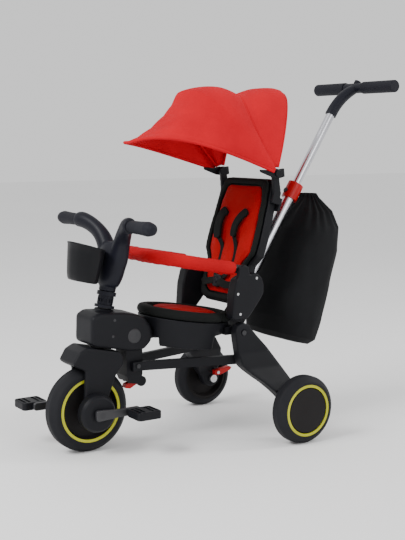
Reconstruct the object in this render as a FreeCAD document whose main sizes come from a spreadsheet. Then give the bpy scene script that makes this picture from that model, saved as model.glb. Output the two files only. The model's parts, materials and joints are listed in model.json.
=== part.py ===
import FreeCAD, Part

import math
import os

import Sketcher
from FreeCAD import Placement, Rotation, Vector

# Folding children's tricycle, in millimetres.
# The rider faces -Y, the rider's left is +X, +Z is up and the ground is z = 0.
# Most pieces are drawn in a chassis frame that stands on the ground under the
# front axle; front_axle_y then puts that frame on the row's own origin, which
# is the middle of the whole tricycle on the ground.

DRIVING_SIZES = {
    "front_axle_y": -344.1,
    "front_wheel_radius": 98.0,
    "front_wheel_width": 48.6,
    "rear_wheel_radius": 80.0,
    "rear_wheel_width": 47.0,
    "wheel_base": 454.0,
    "overall_width": 480.0,
    "steering_lean": 11.9,
    "column_radius": 14.0,
    "head_width": 90.0,
    "head_hinge_y": 102.0,
    "head_hinge_z": 262.0,
    "link_back": 12.0,
    "link_drop": 72.0,
    "leg_hinge_y": 347.0,
    "leg_hinge_z": 258.0,
    "hinge_pin_radius": 6.0,
    "seat_middle_y": 262.0,
    "seat_middle_z": 298.0,
    "seat_tilt": 7.5,
    "seat_width": 236.0,
    "seat_length": 224.0,
    "recline_y": 392.0,
    "recline_z": 358.0,
    "back_lean": 16.8,
    "push_lean": 32.2,
    "collar_y": 587.0,
    "collar_z": 577.0,
    "push_tube_radius": 11.0,
    "grip_radius": 15.5,
    "handlebar_width": 446.0,
    "handle_width": 300.0,
    "crank_length": 88.0,
    "canopy_pivot_y": 449.0,
    "canopy_pivot_z": 627.0,
    "canopy_cloth": 3.0,
    "running_gap": 0.05,
}


class Size(float):
    """A number that remembers the sheet expression it comes from."""

    def __new__(cls, value, text):
        made = float.__new__(cls, value)
        made.text = text
        return made

    def __add__(self, other):
        return Size(float(self) + float(other), "(%s + %s)" % (self.text, text_of(other)))

    def __radd__(self, other):
        return Size(float(other) + float(self), "(%s + %s)" % (text_of(other), self.text))

    def __sub__(self, other):
        return Size(float(self) - float(other), "(%s - %s)" % (self.text, text_of(other)))

    def __rsub__(self, other):
        return Size(float(other) - float(self), "(%s - %s)" % (text_of(other), self.text))

    def __mul__(self, other):
        return Size(float(self) * float(other), "(%s * %s)" % (self.text, text_of(other)))

    def __rmul__(self, other):
        return Size(float(other) * float(self), "(%s * %s)" % (text_of(other), self.text))

    def __truediv__(self, other):
        return Size(float(self) / float(other), "(%s / %s)" % (self.text, text_of(other)))

    def __neg__(self):
        return Size(-float(self), "(0 - %s)" % self.text)


def text_of(value):
    return getattr(value, "text", "%.6g" % float(value))


doc = FreeCAD.newDocument("folding_tricycle")
sheet = doc.addObject("Spreadsheet::Sheet", "Sizes")
for line, (alias, number) in enumerate(DRIVING_SIZES.items(), start=1):
    sheet.set("A%d" % line, alias.replace("_", " "))
    sheet.set("B%d" % line, str(number))
    sheet.setAlias("B%d" % line, alias)
doc.recompute()


class Sheet:
    """The driving sizes, read back from the sheet by their aliases."""

    def __getattr__(self, alias):
        return Size(sheet.get(alias), "Sizes." + alias)


d = Sheet()
nodes = []

# ---------------------------------------------------------------- helpers


def bind(thing, name, value):
    """Set a size, and tie it to the sheet when it comes from there."""
    setattr(thing, name, float(value))
    if hasattr(value, "text"):
        thing.setExpression(name, value.text)


def put(thing, x=0.0, y=0.0, z=0.0, turn=None):
    """Place a thing; turn is (axis, angle in degrees)."""
    axis, angle = turn if turn else ((1, 0, 0), 0.0)
    thing.Placement = Placement(Vector(x, y, z), Rotation(Vector(*axis), float(angle)))
    for letter, value in zip("xyz", (x, y, z)):
        if hasattr(value, "text"):
            thing.setExpression("Placement.Base." + letter, value.text)
    if hasattr(angle, "text"):
        thing.setExpression("Placement.Rotation.Angle", angle.text)
    return thing


def lean_back(angle):
    """A turn that tips local +Z towards the rear of the tricycle."""
    return ((-1, 0, 0), angle)


def carried(thing):
    """Wrap a thing that already has a place, so that a frame can move it whole."""
    if thing.Placement.isIdentity():
        return thing
    group = doc.addObject("Part::Compound", thing.Name + "_set")
    group.Links = [thing]
    doc.recompute()
    return group


def on_chassis(thing):
    return put(carried(thing), 0.0, d.front_axle_y, 0.0)


def on_steering(thing):
    """Local z runs up the steering axis from the front axle."""
    return put(carried(thing), 0.0, d.front_axle_y, d.front_wheel_radius, lean_back(d.steering_lean))


def on_seat(thing):
    """Local z is square to the seat, which drops a little to the rear."""
    y = d.front_axle_y + d.seat_middle_y
    return put(carried(thing), 0.0, y, d.seat_middle_z, lean_back(d.seat_tilt))


def on_backrest(thing):
    """Local z runs up the backrest from its recline pivot."""
    y = d.front_axle_y + d.recline_y
    return put(carried(thing), 0.0, y, d.recline_z, lean_back(d.back_lean))


def on_push_bar(thing):
    """Local z runs up the push bar from its collar."""
    y = d.front_axle_y + d.collar_y
    return put(carried(thing), 0.0, y, d.collar_z, lean_back(d.push_lean))


def on_canopy(thing):
    y = d.front_axle_y + d.canopy_pivot_y
    return put(thing, 0.0, y, d.canopy_pivot_z)


def keep(thing, label):
    """Name a finished sub-part and list it for writing."""
    thing.Label = label
    nodes.append(thing)
    return thing


def body_named(name):
    return doc.addObject("PartDesign::Body", name)


def sketch_in(body, role, height=0.0):
    """A sketch on one of the body's own origin planes, raised along its normal."""
    sketch = body.newObject("Sketcher::SketchObject", body.Name + "_sketch")
    plane = next(f for f in body.Origin.OriginFeatures if f.Role == role)
    sketch.AttachmentSupport = (plane, [""])
    sketch.MapMode = "FlatFace"
    sketch.AttachmentOffset = Placement(Vector(0, 0, height), Rotation())
    if hasattr(height, "text"):
        sketch.setExpression("AttachmentOffset.Base.z", height.text)
    return sketch


def outline(sketch, corners):
    """Close a ring of straight edges whose corners are fixed by constraints."""
    first = sketch.GeometryCount
    ring = [Vector(float(u), float(v), 0) for u, v in corners]
    ends = ring[1:] + ring[:1]
    sketch.addGeometry([Part.LineSegment(a, b) for a, b in zip(ring, ends)], False)
    count = len(ring)
    for i in range(count):
        after = first + (i + 1) % count
        sketch.addConstraint(Sketcher.Constraint("Coincident", first + i, 2, after, 1))
    for i, corner in enumerate(corners):
        for kind, axis, value in zip(("DistanceX", "DistanceY"), (-2, -1), corner):
            if abs(float(value)) < 1e-9:
                sketch.addConstraint(Sketcher.Constraint("PointOnObject", first + i, 1, axis))
                continue
            rule = Sketcher.Constraint(kind, -1, 1, first + i, 1, float(value))
            number = sketch.addConstraint(rule)
            if hasattr(value, "text"):
                sketch.setExpression("Constraints[%d]" % number, value.text)


def circle(sketch, u, v, radius):
    """A circle with its middle and radius fixed by constraints."""
    number = sketch.addGeometry(Part.Circle(Vector(float(u), float(v), 0), Vector(0, 0, 1), float(radius)), False)
    for kind, axis, value in (("DistanceX", -2, u), ("DistanceY", -1, v)):
        if abs(float(value)) < 1e-9:
            sketch.addConstraint(Sketcher.Constraint("PointOnObject", number, 3, axis))
            continue
        rule = sketch.addConstraint(Sketcher.Constraint(kind, -1, 1, number, 3, float(value)))
        if hasattr(value, "text"):
            sketch.setExpression("Constraints[%d]" % rule, value.text)
    rule = sketch.addConstraint(Sketcher.Constraint("Radius", number, float(radius)))
    if hasattr(radius, "text"):
        sketch.setExpression("Constraints[%d]" % rule, radius.text)


def pad(body, sketch, length):
    feature = body.newObject("PartDesign::Pad", body.Name + "_pad")
    feature.Profile = sketch
    bind(feature, "Length", length)
    sketch.Visibility = False
    doc.recompute()
    return feature


def pocket(body, sketch, length):
    """Cut away from the sketch's plane along its normal; the cut is checked."""
    before = body.Shape.Volume
    feature = body.newObject("PartDesign::Pocket", body.Name + "_pocket")
    feature.Profile = sketch
    feature.Reversed = True
    bind(feature, "Length", length)
    doc.recompute()
    if feature.Shape.Volume > before - 1.0:
        raise RuntimeError("%s: a pocket cut nothing" % body.Name)
    return feature


def soften(body, radius, wanted):
    """Round the edges of the body's last feature that wanted(edge) picks."""
    base = body.Tip
    names = ["Edge%d" % (i + 1) for i, edge in enumerate(base.Shape.Edges) if wanted(edge)]
    if not names:
        raise RuntimeError("%s: no edge to round" % body.Name)
    feature = body.newObject("PartDesign::Fillet", body.Name + "_round")
    feature.Base = (base, names)
    bind(feature, "Radius", radius)
    doc.recompute()
    if "Invalid" in feature.State or feature.Shape.isNull():
        raise RuntimeError("%s: rounding %s failed" % (body.Name, radius))
    return feature


def along(axis):
    """Picks straight edges that run along an axis, 0 for X, 1 for Y, 2 for Z."""
    def wanted(edge):
        if edge.Curve.TypeId != "Part::GeomLine":
            return False
        direction = edge.Curve.Direction
        return abs(abs(direction[axis]) - 1.0) < 1e-6
    return wanted


def at_level(axis, *levels):
    """Picks edges that lie wholly in a plane square to an axis."""
    def wanted(edge):
        box = edge.BoundBox
        low = (box.XMin, box.YMin, box.ZMin)[axis]
        high = (box.XMax, box.YMax, box.ZMax)[axis]
        return any(abs(low - level) < 1e-4 and abs(high - level) < 1e-4 for level in levels)
    return wanted


ROLE = {0: "YZ_Plane", 1: "XZ_Plane", 2: "XY_Plane"}


def slab(name, axis, corners, low, high, corner_radius=None, rim_radius=None):
    """A plate of constant section: its outline is drawn square to an axis.

    axis 0 draws (y, z), axis 1 draws (x, z) and axis 2 draws (x, y).
    The XZ plane's normal is -Y, so that sketch starts at the high end.
    """
    body = body_named(name)
    start = -high if axis == 1 else low
    sketch = sketch_in(body, ROLE[axis], start)
    outline(sketch, corners)
    pad(body, sketch, high - low)
    if corner_radius:
        soften(body, corner_radius, along(axis))
    if rim_radius:
        soften(body, rim_radius, at_level(axis, float(low), float(high)))
    return body


def turned(name, corners):
    """A body turned about X; corners are (x, radius)."""
    body = body_named(name)
    sketch = sketch_in(body, "XY_Plane")
    outline(sketch, corners)
    feature = body.newObject("PartDesign::Revolution", name + "_turn")
    feature.Profile = sketch
    feature.ReferenceAxis = (sketch, ["H_Axis"])
    feature.Angle = 360.0
    doc.recompute()
    return body


def rod(name, radius, low, high, y=0.0, z=0.0):
    """A round bar along X from low to high."""
    bar = doc.addObject("Part::Cylinder", name)
    bind(bar, "Radius", radius)
    bind(bar, "Height", high - low)
    return put(bar, low, y, z, ((0, 1, 0), 90.0))


def post(name, radius, low, high, x=0.0, y=0.0):
    """A round bar along Z from low to high."""
    bar = doc.addObject("Part::Cylinder", name)
    bind(bar, "Radius", radius)
    bind(bar, "Height", high - low)
    return put(bar, x, y, low)


def block(name, x, y, z):
    """A box from three (low, high) spans."""
    box = doc.addObject("Part::Box", name)
    for side, (low, high) in zip(("Length", "Width", "Height"), (x, y, z)):
        bind(box, side, high - low)
    return put(box, x[0], y[0], z[0])


def hoop(name, width, depth, x=0.0, y=0.0, z=0.0, turn=None):
    """An ellipse, width along local x and depth along local y, as a section."""
    ring = doc.addObject("Part::Ellipse", name)
    long_side, short_side = (width, depth) if float(width) >= float(depth) else (depth, width)
    bind(ring, "MajorRadius", long_side)
    bind(ring, "MinorRadius", short_side)
    axis, angle = turn if turn else ((1, 0, 0), 0.0)
    facing = Rotation(Vector(*axis), float(angle))
    if float(width) < float(depth):
        facing = facing * Rotation(Vector(0, 0, 1), 90.0)
    ring.Placement = Placement(Vector(float(x), float(y), float(z)), facing)
    return ring


def loft(name, sections, ruled=False):
    skin = doc.addObject("Part::Loft", name)
    skin.Sections = sections
    skin.Solid = True
    skin.Ruled = ruled
    doc.recompute()
    return skin


def cut(name, base, *tools):
    tool = tools[0] if len(tools) == 1 else fuse(name + "_tools", *tools)
    result = doc.addObject("Part::Cut", name)
    result.Base = base
    result.Tool = tool
    doc.recompute()
    if result.Shape.Volume > base.Shape.Volume - 1.0:
        raise RuntimeError("%s: a cut took nothing away" % name)
    return result


def fuse(name, *pieces):
    result = doc.addObject("Part::MultiFuse", name)
    result.Shapes = list(pieces)
    result.Refine = True
    doc.recompute()
    return result


def common(name, *pieces):
    result = doc.addObject("Part::MultiCommon", name)
    result.Shapes = list(pieces)
    doc.recompute()
    return result


def mirrored(name, source):
    """The same piece on the other side of the tricycle's middle plane."""
    other = doc.addObject("Part::Mirroring", name)
    other.Source = source
    other.Normal = Vector(1, 0, 0)
    doc.recompute()
    return other


def pair(stem, source):
    """Keep a left piece and its mirror image on the right."""
    keep(source, stem + "_left")
    keep(mirrored(stem + "_mirror", source), stem + "_right")


def gather(name, *pieces):
    """Separate solids that share one node."""
    group = doc.addObject("Part::Compound", name)
    group.Links = list(pieces)
    doc.recompute()
    return group


def both(stem, source):
    """Keep a left piece and its mirror image together in one node."""
    keep(gather(stem + "_pair", source, mirrored(stem + "_mirror", source)), stem)


def arc_pipe(name, points, radius, bend):
    """A round tube along straight runs joined by tangent arcs."""
    places = [Vector(*p) for p in points]
    edges = []
    start = places[0]
    for before, corner, after in zip(places, places[1:], places[2:]):
        inward = (before - corner).normalize()
        outward = (after - corner).normalize()
        half = inward.getAngle(outward) / 2.0
        reach = bend / math.tan(half)
        enter = corner + inward * reach
        leave = corner + outward * reach
        middle = (inward + outward).normalize()
        top = corner + middle * (bend / math.sin(half) - bend)
        edges.append(Part.LineSegment(start, enter).toShape())
        edges.append(Part.Arc(enter, top, leave).toShape())
        start = leave
    edges.append(Part.LineSegment(start, places[-1]).toShape())
    path = Part.Wire(edges)
    heading = places[1] - places[0]
    ring = Part.Wire([Part.Circle(places[0], heading, float(radius)).toShape()])
    tube = doc.addObject("Part::Feature", name)
    tube.Shape = path.makePipeShell([ring], True, True)
    return tube


# ---------------------------------------------------------------- wheels


def make_tyre(name, radius, width, seat_radius):
    """A foam tyre with rounded shoulders, pressed on its rim."""
    half = width / 2.0
    shoulder = 13.0
    body = turned(name, [
        (-half, seat_radius),
        (-half, radius - shoulder),
        (-half + shoulder, radius),
        (half - shoulder, radius),
        (half, radius - shoulder),
        (half, seat_radius),
    ])

    def shoulder_edge(edge):
        return edge.Curve.TypeId == "Part::GeomCircle" and edge.Curve.Radius > float(seat_radius) + 1.0

    soften(body, 9.0, shoulder_edge)
    return body


def make_rim(name, width, seat_radius, bore, groove_sides):
    """A moulded wheel centre: web, hub and a shallow channel for the ring."""
    half = width / 2.0 - 1.5
    channel = 2.2
    ring_width = 7.0
    web = half - 16.0
    face = []
    for side in (-1, 1):
        outer = half * side
        floor = (half - channel) * side if side in groove_sides else outer
        rows = [
            (outer, seat_radius),
            (outer, seat_radius - 0.6),
            (floor, seat_radius - 0.6),
            (floor, seat_radius - ring_width),
            (web * side, seat_radius - ring_width - 4.0),
            (web * side, bore + 12.0),
            (outer, bore + 9.0),
            (outer, bore),
        ]
        if side not in groove_sides:
            rows = [rows[0]] + rows[3:]
        face.append(rows)
    return turned(name, face[0] + face[1][::-1])


def make_ring(name, width, seat_radius, side):
    """The coloured ring that lies in the rim's channel."""
    half = width / 2.0 - 1.5
    low = half - 2.2
    high = half + 0.8
    return turned(name, [
        (low * side, seat_radius - 7.0),
        (high * side, seat_radius - 7.0),
        (high * side, seat_radius - 0.6),
        (low * side, seat_radius - 0.6),
    ])


rear_seat = d.rear_wheel_radius - 18.4
front_seat = d.front_wheel_radius - 23.4
rear_x = (d.overall_width - d.rear_wheel_width) / 2.0
rear_y = d.front_axle_y + d.wheel_base
rear_bore = d.hinge_pin_radius + d.running_gap


def at_rear_wheel(thing):
    return put(thing, rear_x, rear_y, d.rear_wheel_radius)


def at_front_wheel(thing):
    return put(thing, 0.0, d.front_axle_y, d.front_wheel_radius)


pair("rear_tyre", at_rear_wheel(make_tyre(
    "rear_tyre", d.rear_wheel_radius, d.rear_wheel_width, rear_seat)))
# The hub cap closes the dish of the rear wheel's outer face.
cap_plane = d.rear_wheel_width / 2.0 - 1.5
hub_cap = turned("rear_cap", [
    (cap_plane - 17.0, rear_seat - 15.0),
    (cap_plane - 17.0, rear_seat - 11.5),
    (cap_plane - 1.0, rear_seat - 8.5),
    (cap_plane + 0.6, rear_seat - 10.0),
    (cap_plane + 1.5, 0.0),
    (cap_plane - 1.0, 0.0),
    (cap_plane - 1.5, rear_seat - 15.0),
])
rear_rim = make_rim("rear_rim", d.rear_wheel_width, rear_seat, rear_bore, (1,))
pair("rear_rim", at_rear_wheel(fuse("rear_rim_capped", rear_rim, hub_cap)))
pair("rear_ring", at_rear_wheel(make_ring("rear_ring", d.rear_wheel_width, rear_seat, 1)))

axle_radius = 7.0
front_rim = make_rim("front_rim", d.front_wheel_width, front_seat, axle_radius, (-1, 1))
keep(at_front_wheel(make_tyre(
    "front_tyre", d.front_wheel_radius, d.front_wheel_width, front_seat)), "front_tyre")
keep(at_front_wheel(front_rim), "front_rim")
both("front_rings", at_front_wheel(make_ring(
    "front_ring", d.front_wheel_width, front_seat, 1)))

# ---------------------------------------------------------------- cranks and pedals

crank_low = 71.0
crank_high = 81.0
pedal_low = 83.0
pedal_high = 141.0
pedal_pin_radius = 5.0

axle = rod("front_axle_rod", axle_radius, -crank_high, crank_high)
across = ((0, 1, 0), 90.0)
keep(put(axle, -crank_high, d.front_axle_y, d.front_wheel_radius, across), "front_axle")


def make_crank(name):
    """A crank arm that runs back from the axle, with the pedal's pin."""
    arm = slab(name + "_arm", 0, [
        (-15.0, -13.0),
        (d.crank_length * 0.5, -9.0),
        (d.crank_length + 9.0, -9.0),
        (d.crank_length + 9.0, 9.0),
        (d.crank_length * 0.5, 9.0),
        (-15.0, 13.0),
    ], crank_low, crank_high, 7.0, 2.0)
    pin = rod(name + "_pin", pedal_pin_radius, crank_high - 4.0, pedal_high - 6.0, d.crank_length)
    whole = fuse(name, arm, pin)
    bore = rod(name + "_bore", axle_radius, crank_low - 2.0, crank_high + 2.0)
    return cut(name + "_cut", whole, bore)


def make_pedal(name):
    """A chunky moulded pedal with a tread of cross ribs."""
    body = slab(name, 2, [
        (pedal_low, -30.0),
        (pedal_high, -30.0),
        (pedal_high, 30.0),
        (pedal_low, 30.0),
    ], -9.0, 9.0, 9.0, 2.5)
    tread = sketch_in(body, "XY_Plane", 6.5)
    for y in (-22.0, -11.0, 11.0, 22.0):
        outline(tread, [(91.0, y - 3.5), (133.0, y - 3.5), (133.0, y + 3.5), (91.0, y + 3.5)])
    pocket(body, tread, 6.0)
    hole = sketch_in(body, "YZ_Plane", pedal_low - 1.0)
    circle(hole, 0.0, 0.0, d.running_gap + pedal_pin_radius)
    pocket(body, hole, pedal_high - pedal_low - 4.0)
    return body


left_crank = at_front_wheel(make_crank("crank"))
keep(left_crank, "crank_left")
right_crank = doc.addObject("Part::Feature", "crank_turned")
right_crank.Shape = make_crank("crank_far").Shape
keep(put(right_crank, 0.0, d.front_axle_y, d.front_wheel_radius, ((0, 0, 1), 180.0)), "crank_right")

pedal_y = d.front_axle_y + d.crank_length
keep(put(make_pedal("pedal_near"), 0.0, pedal_y, d.front_wheel_radius), "pedal_left")
pedal_y = d.front_axle_y - d.crank_length
far_pedal = make_pedal("pedal_far")
keep(put(far_pedal, 0.0, pedal_y, d.front_wheel_radius, ((0, 0, 1), 180.0)), "pedal_right")

# ---------------------------------------------------------------- fork and steering

lean = math.radians(float(d.steering_lean))


def steering_spot(y, z):
    """Chassis y and z of a point given in the steering frame."""
    return (y * math.cos(lean) + z * math.sin(lean),
            d.front_wheel_radius - y * math.sin(lean) + z * math.cos(lean))


fork_half = 40.0
fork_slot = 28.0
wheel_arch = d.front_wheel_radius + 4.0
column_bore = d.column_radius + d.running_gap

fork_blank = slab("fork_blank", 0, [
    (-20.0, -22.0), (20.0, -22.0), (34.0, 50.0), (41.0, 90.0), (54.0, 112.0), (52.0, 132.0),
    (38.0, 142.0), (-44.0, 142.0), (-62.0, 128.0), (-72.0, 100.0), (-60.0, 94.0), (-38.0, 88.0),
    (-33.0, 55.0),
], -fork_half, fork_half, 5.0, 4.0)
fork = cut(
    "fork_cut", fork_blank,
    rod("fork_arch", wheel_arch, -fork_slot, fork_slot),
    block("fork_foot_slot", (-fork_slot, fork_slot), (-30.0, 30.0), (-30.0, 20.0)),
    block("fork_front_room", (-33.0, 33.0), (-50.0, -19.0), (90.0, 135.0)),
    block("fork_rear_room", (-33.0, 33.0), (19.0, 44.0), (90.0, 135.0)),
    rod("fork_axle_hole", axle_radius + d.running_gap, -50.0, 50.0),
    post("fork_column_hole", d.column_radius, 106.0, 150.0),
)
keep(on_steering(fork), "fork")

both("hub_covers", at_front_wheel(turned("hub_cover", [
    (40.2, 39.5), (40.2, 43.0), (60.0, 43.0), (67.0, 37.0), (69.0, 24.0), (69.0, 9.0),
    (66.0, 9.0), (66.0, 22.5), (64.4, 35.0), (58.5, 39.5),
])))

column_top = 300.0
keep(on_steering(post("column_tube", d.column_radius, 106.0, column_top)), "steering_column")


def collar(name, low, high, radius, waist):
    """A ring clamped round the column, with a softer upper edge."""
    ring = post(name + "_ring", radius, low, high)
    hole = post(name + "_hole", d.column_radius, low - 1.0, high + 1.0)
    trim = cut(name + "_bored", ring, hole)
    if waist:
        groove = cut(
            name + "_groove",
            post(name + "_groove_out", radius + 2.0, low + waist, high - waist),
            post(name + "_groove_in", radius - 2.0, low + waist - 1.0, high - waist + 1.0),
        )
        trim = cut(name + "_grooved", trim, groove)
    return trim


sleeve = fuse(
    "sleeve_whole", collar("flange", 234.0, 240.0, 23.0, 0), collar("sleeve", 240.0, 262.0, 17.5, 7.0),
    collar("clamp", 262.0, 271.0, 22.0, 0),
)
keep(on_steering(sleeve), "column_sleeve")

bar_core = loft("bar_core", [
    hoop("core_a", 27.0, 21.0, 0, 0, 284.0),
    hoop("core_b", 38.0, 25.0, 0, 0, 300.0),
    hoop("core_c", 46.0, 28.0, 0, 0, 335.0),
    hoop("core_d", 44.0, 27.0, 0, 0, 365.0),
    hoop("core_e", 30.0, 20.0, 0, 0, 384.0),
])
horn_root = 124.0


def horn(name, side):
    """One arm of the handlebar, sweeping up and out to its grip."""
    stations = [
        (22.0, 0.0, 335.0, 14.0, 24.0), (34.0, -3.0, 372.0, 22.0, 22.0), (58.0, -14.0, 402.0, 44.0, 19.5),
        (92.0, -30.0, 420.0, 68.0, 18.5), (112.0, -37.0, 424.0, 84.0, 18.5),
        (horn_root, -38.0, 423.0, 90.0, 17.5),
    ]
    rings = []
    for number, (x, y, z, tip, radius) in enumerate(stations):
        turn = ((0, 1, 0), tip * side)
        rings.append(hoop("%s_%d" % (name, number), radius, radius * 0.93, x * side, y, z, turn))
    return loft(name, rings)


neck = post("bar_neck", 19.5, 271.0, 290.0)
bar_whole = fuse("bar_whole", bar_core, neck, horn("horn_near", 1), horn("horn_far", -1))
bar_bored = cut("bar_bored", bar_whole, post("bar_hole", d.column_radius, 270.0, column_top))
keep(on_steering(bar_bored), "handlebar")

grip_end = d.handlebar_width / 2.0
grip_y, grip_z = steering_spot(-38.0, 423.0)
grip = turned("grip", [
    (horn_root, 0.0), (horn_root, 13.0), (horn_root + 8.0, d.grip_radius - 1.5),
    (grip_end - 55.0, d.grip_radius - 1.0), (grip_end - 22.0, d.grip_radius + 0.5),
    (grip_end - 7.0, d.grip_radius - 2.5), (grip_end, 6.5), (grip_end, 0.0),
])
both("grips", put(grip, 0.0, d.front_axle_y + grip_y, grip_z))

basket_wall = 3.0
tip_forward = ((1, 0, 0), -5.4)


def cup_form(name, inset, low, high):
    """The flaring oval of the cup, taller at its front edge."""
    return loft(name, [
        hoop(name + "_base", 38.0 - inset, 27.0 - inset, 0, -66.0, low),
        hoop(name + "_low", 43.0 - inset, 33.0 - inset, 0, -68.0, low + 18.0),
        hoop(name + "_rim", 54.0 - inset, 41.0 - inset, 0, -71.5, high, tip_forward),
    ])


basket = cut("basket_cut", cup_form("cup_out", 0.0, 284.0, 366.0), cup_form("cup_in", basket_wall, 287.5, 366.5))
keep(on_steering(basket), "cup_basket")

# ---------------------------------------------------------------- head of the frame

head_half = d.head_width / 2.0
lobe_radius = 50.0
hinge_y = d.head_hinge_y
hinge_z = d.head_hinge_z
link_y = hinge_y + d.link_back
link_z = hinge_z - d.link_drop
tongue_half = 16.0

head_blank = slab("head_blank", 0, [
    (-6.0, 251.0), (6.0, 245.5), (96.0, 226.5), (130.0, 227.0), (hinge_y + 47.0, 245.0),
    (hinge_y + lobe_radius, hinge_z),
    (hinge_y + 46.0, hinge_z + 20.0), (hinge_y + 32.0, hinge_z + 38.0), (hinge_y + 12.0, hinge_z + 49.0),
    (80.0, 318.0), (14.0, 322.0), (-4.0, 312.0),
], -head_half, head_half, 7.0, 8.0)
seal = post("head_seal", 22.0, 200.0, 233.0)
seal.Placement = Placement(
    Vector(0, 0, float(d.front_wheel_radius)), Rotation(Vector(-1, 0, 0), float(d.steering_lean))
).multiply(seal.Placement)
column_hole = post("head_column_hole", column_bore, 100.0, 240.0)
column_hole.Placement = Placement(
    Vector(0, 0, float(d.front_wheel_radius)), Rotation(Vector(-1, 0, 0), float(d.steering_lean))
).multiply(column_hole.Placement)
screw_spots = [(51.6, 303.0), (47.3, 266.0)]
recesses = [
    rod("head_recess_%d_%d" % (number, side), 4.6, side * 45.5 - 2.6, side * 45.5 + 2.6, y, z)
    for number, (y, z) in enumerate(screw_spots) for side in (-1, 1)
]
head = cut(
    "head_cut", fuse("head_fused", head_blank, seal), column_hole,
    rod("head_hinge_room", 43.0, -tongue_half - 1.0, tongue_half + 1.0, hinge_y, hinge_z),
    block("head_rear_room", (-tongue_half - 1.0, tongue_half + 1.0), (hinge_y, 210.0), (150.0, hinge_z + 17.5)),
    block("head_link_room", (-26.5, 26.5), (83.5, 150.0), (225.0, 236.0)),
    rod("head_pin_hole", d.hinge_pin_radius, -60.0, 60.0, hinge_y, hinge_z),
    *recesses,
)
keep(on_chassis(head), "head_housing")
cap = turned("head_cap", [(head_half, 0.0), (head_half, 17.0), (head_half + 1.4, 15.5), (head_half + 2.6, 0.0)])
cap = put(cap, 0.0, hinge_y, hinge_z)
capped_pin = fuse(
    "capped_pin", rod("head_pin", d.hinge_pin_radius, -head_half, head_half, hinge_y, hinge_z),
    cap, mirrored("head_cap_far", cap),
)
link_pin = rod("link_pin_front", 5.0, -43.0, 43.0, link_y, link_z)
keep(on_chassis(gather("head_pin_set", capped_pin, link_pin)), "head_pins")


def screw_group(name, radius, spots, low, high):
    """Screw heads on both sides, one separate solid each."""
    screws = []
    for number, (y, z) in enumerate(spots):
        for side in (-1, 1):
            near, far = sorted((side * low, side * high))
            screws.append(rod("%s_%d_%d" % (name, number, side), radius, near, far, y, z))
    return gather(name, *screws)


keep(on_chassis(screw_group("head_screw", 4.0, screw_spots, 42.9, 44.4)), "head_screws")

cheek_inner = tongue_half + 2.0
cheek_outer = cheek_inner + 8.0
cheeks = slab("bracket_plate", 0, [
    (91.0, 235.5), (91.0, 166.0), (98.0, 149.0), (126.0, 144.0), (133.0, 168.0), (133.0, 235.5),
], -cheek_outer, cheek_outer, 4.0)
bracket = cut(
    "bracket_cut", cheeks,
    block("bracket_slot", (-cheek_inner, cheek_inner), (97.0, 150.0), (130.0, 240.0)),
    rod("bracket_hole", 5.0, -60.0, 60.0, link_y, link_z),
)
keep(on_chassis(bracket), "fold_bracket")

latch_hinge_y = 137.0
latch_hinge_z = 147.0
latch_blank = cut(
    "latch_cut",
    fuse(
        "latch_whole",
        rod("latch_lobe", 12.0, -15.0, 15.0, latch_hinge_y, latch_hinge_z),
        block("latch_neck", (-cheek_inner + 0.2, cheek_inner - 0.2), (104.0, 132.0), (146.0, 170.0)),
    ),
    block("latch_slot", (-8.3, 8.3), (100.0, 150.0), (120.0, 153.0)),
)
latch = fuse("latch_pinned", latch_blank, rod("release_pin", 3.0, -14.0, 14.0, latch_hinge_y, latch_hinge_z))
keep(on_chassis(latch), "fold_latch")
lever = slab("release", 0, [
    (latch_hinge_y - 6.0, latch_hinge_z - 5.0), (latch_hinge_y + 4.0, latch_hinge_z - 5.5),
    (latch_hinge_y + 5.0, latch_hinge_z + 4.0), (latch_hinge_y - 6.0, latch_hinge_z + 4.5),
    (100.0, 143.0), (96.0, 134.0), (110.0, 131.0),
], -8.0, 8.0, 1.5)
release = cut("release_cut", lever, rod("release_bore", 3.05, -9.0, 9.0, latch_hinge_y, latch_hinge_z))
keep(on_chassis(release), "fold_release_lever")

# ---------------------------------------------------------------- brace bars and rear legs

leg_y = d.leg_hinge_y
leg_z = d.leg_hinge_z
rear_link_y = leg_y + d.link_back
rear_link_z = leg_z - d.link_drop
bar_blank = slab("brace", 2, [
    (28.0, link_y - 13.0), (40.0, link_y - 13.0), (40.0, link_y + 12.0), (98.0, rear_link_y - 16.0),
    (98.0, rear_link_y + 13.0), (86.0, rear_link_y + 13.0), (86.0, rear_link_y - 14.0), (28.0, link_y + 16.0),
], link_z - 12.0, link_z + 9.0)
brace = cut(
    "brace_cut", bar_blank,
    rod("brace_front_hole", d.running_gap + 5.0, 20.0, 50.0, link_y, link_z),
    rod("brace_rear_hole", 6.5, 80.0, 110.0, rear_link_y, rear_link_z),
)
both("brace_bars", on_chassis(brace))

brake_y = 458.0
brake_z = 99.0
brake_pin_radius = 4.0

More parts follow.
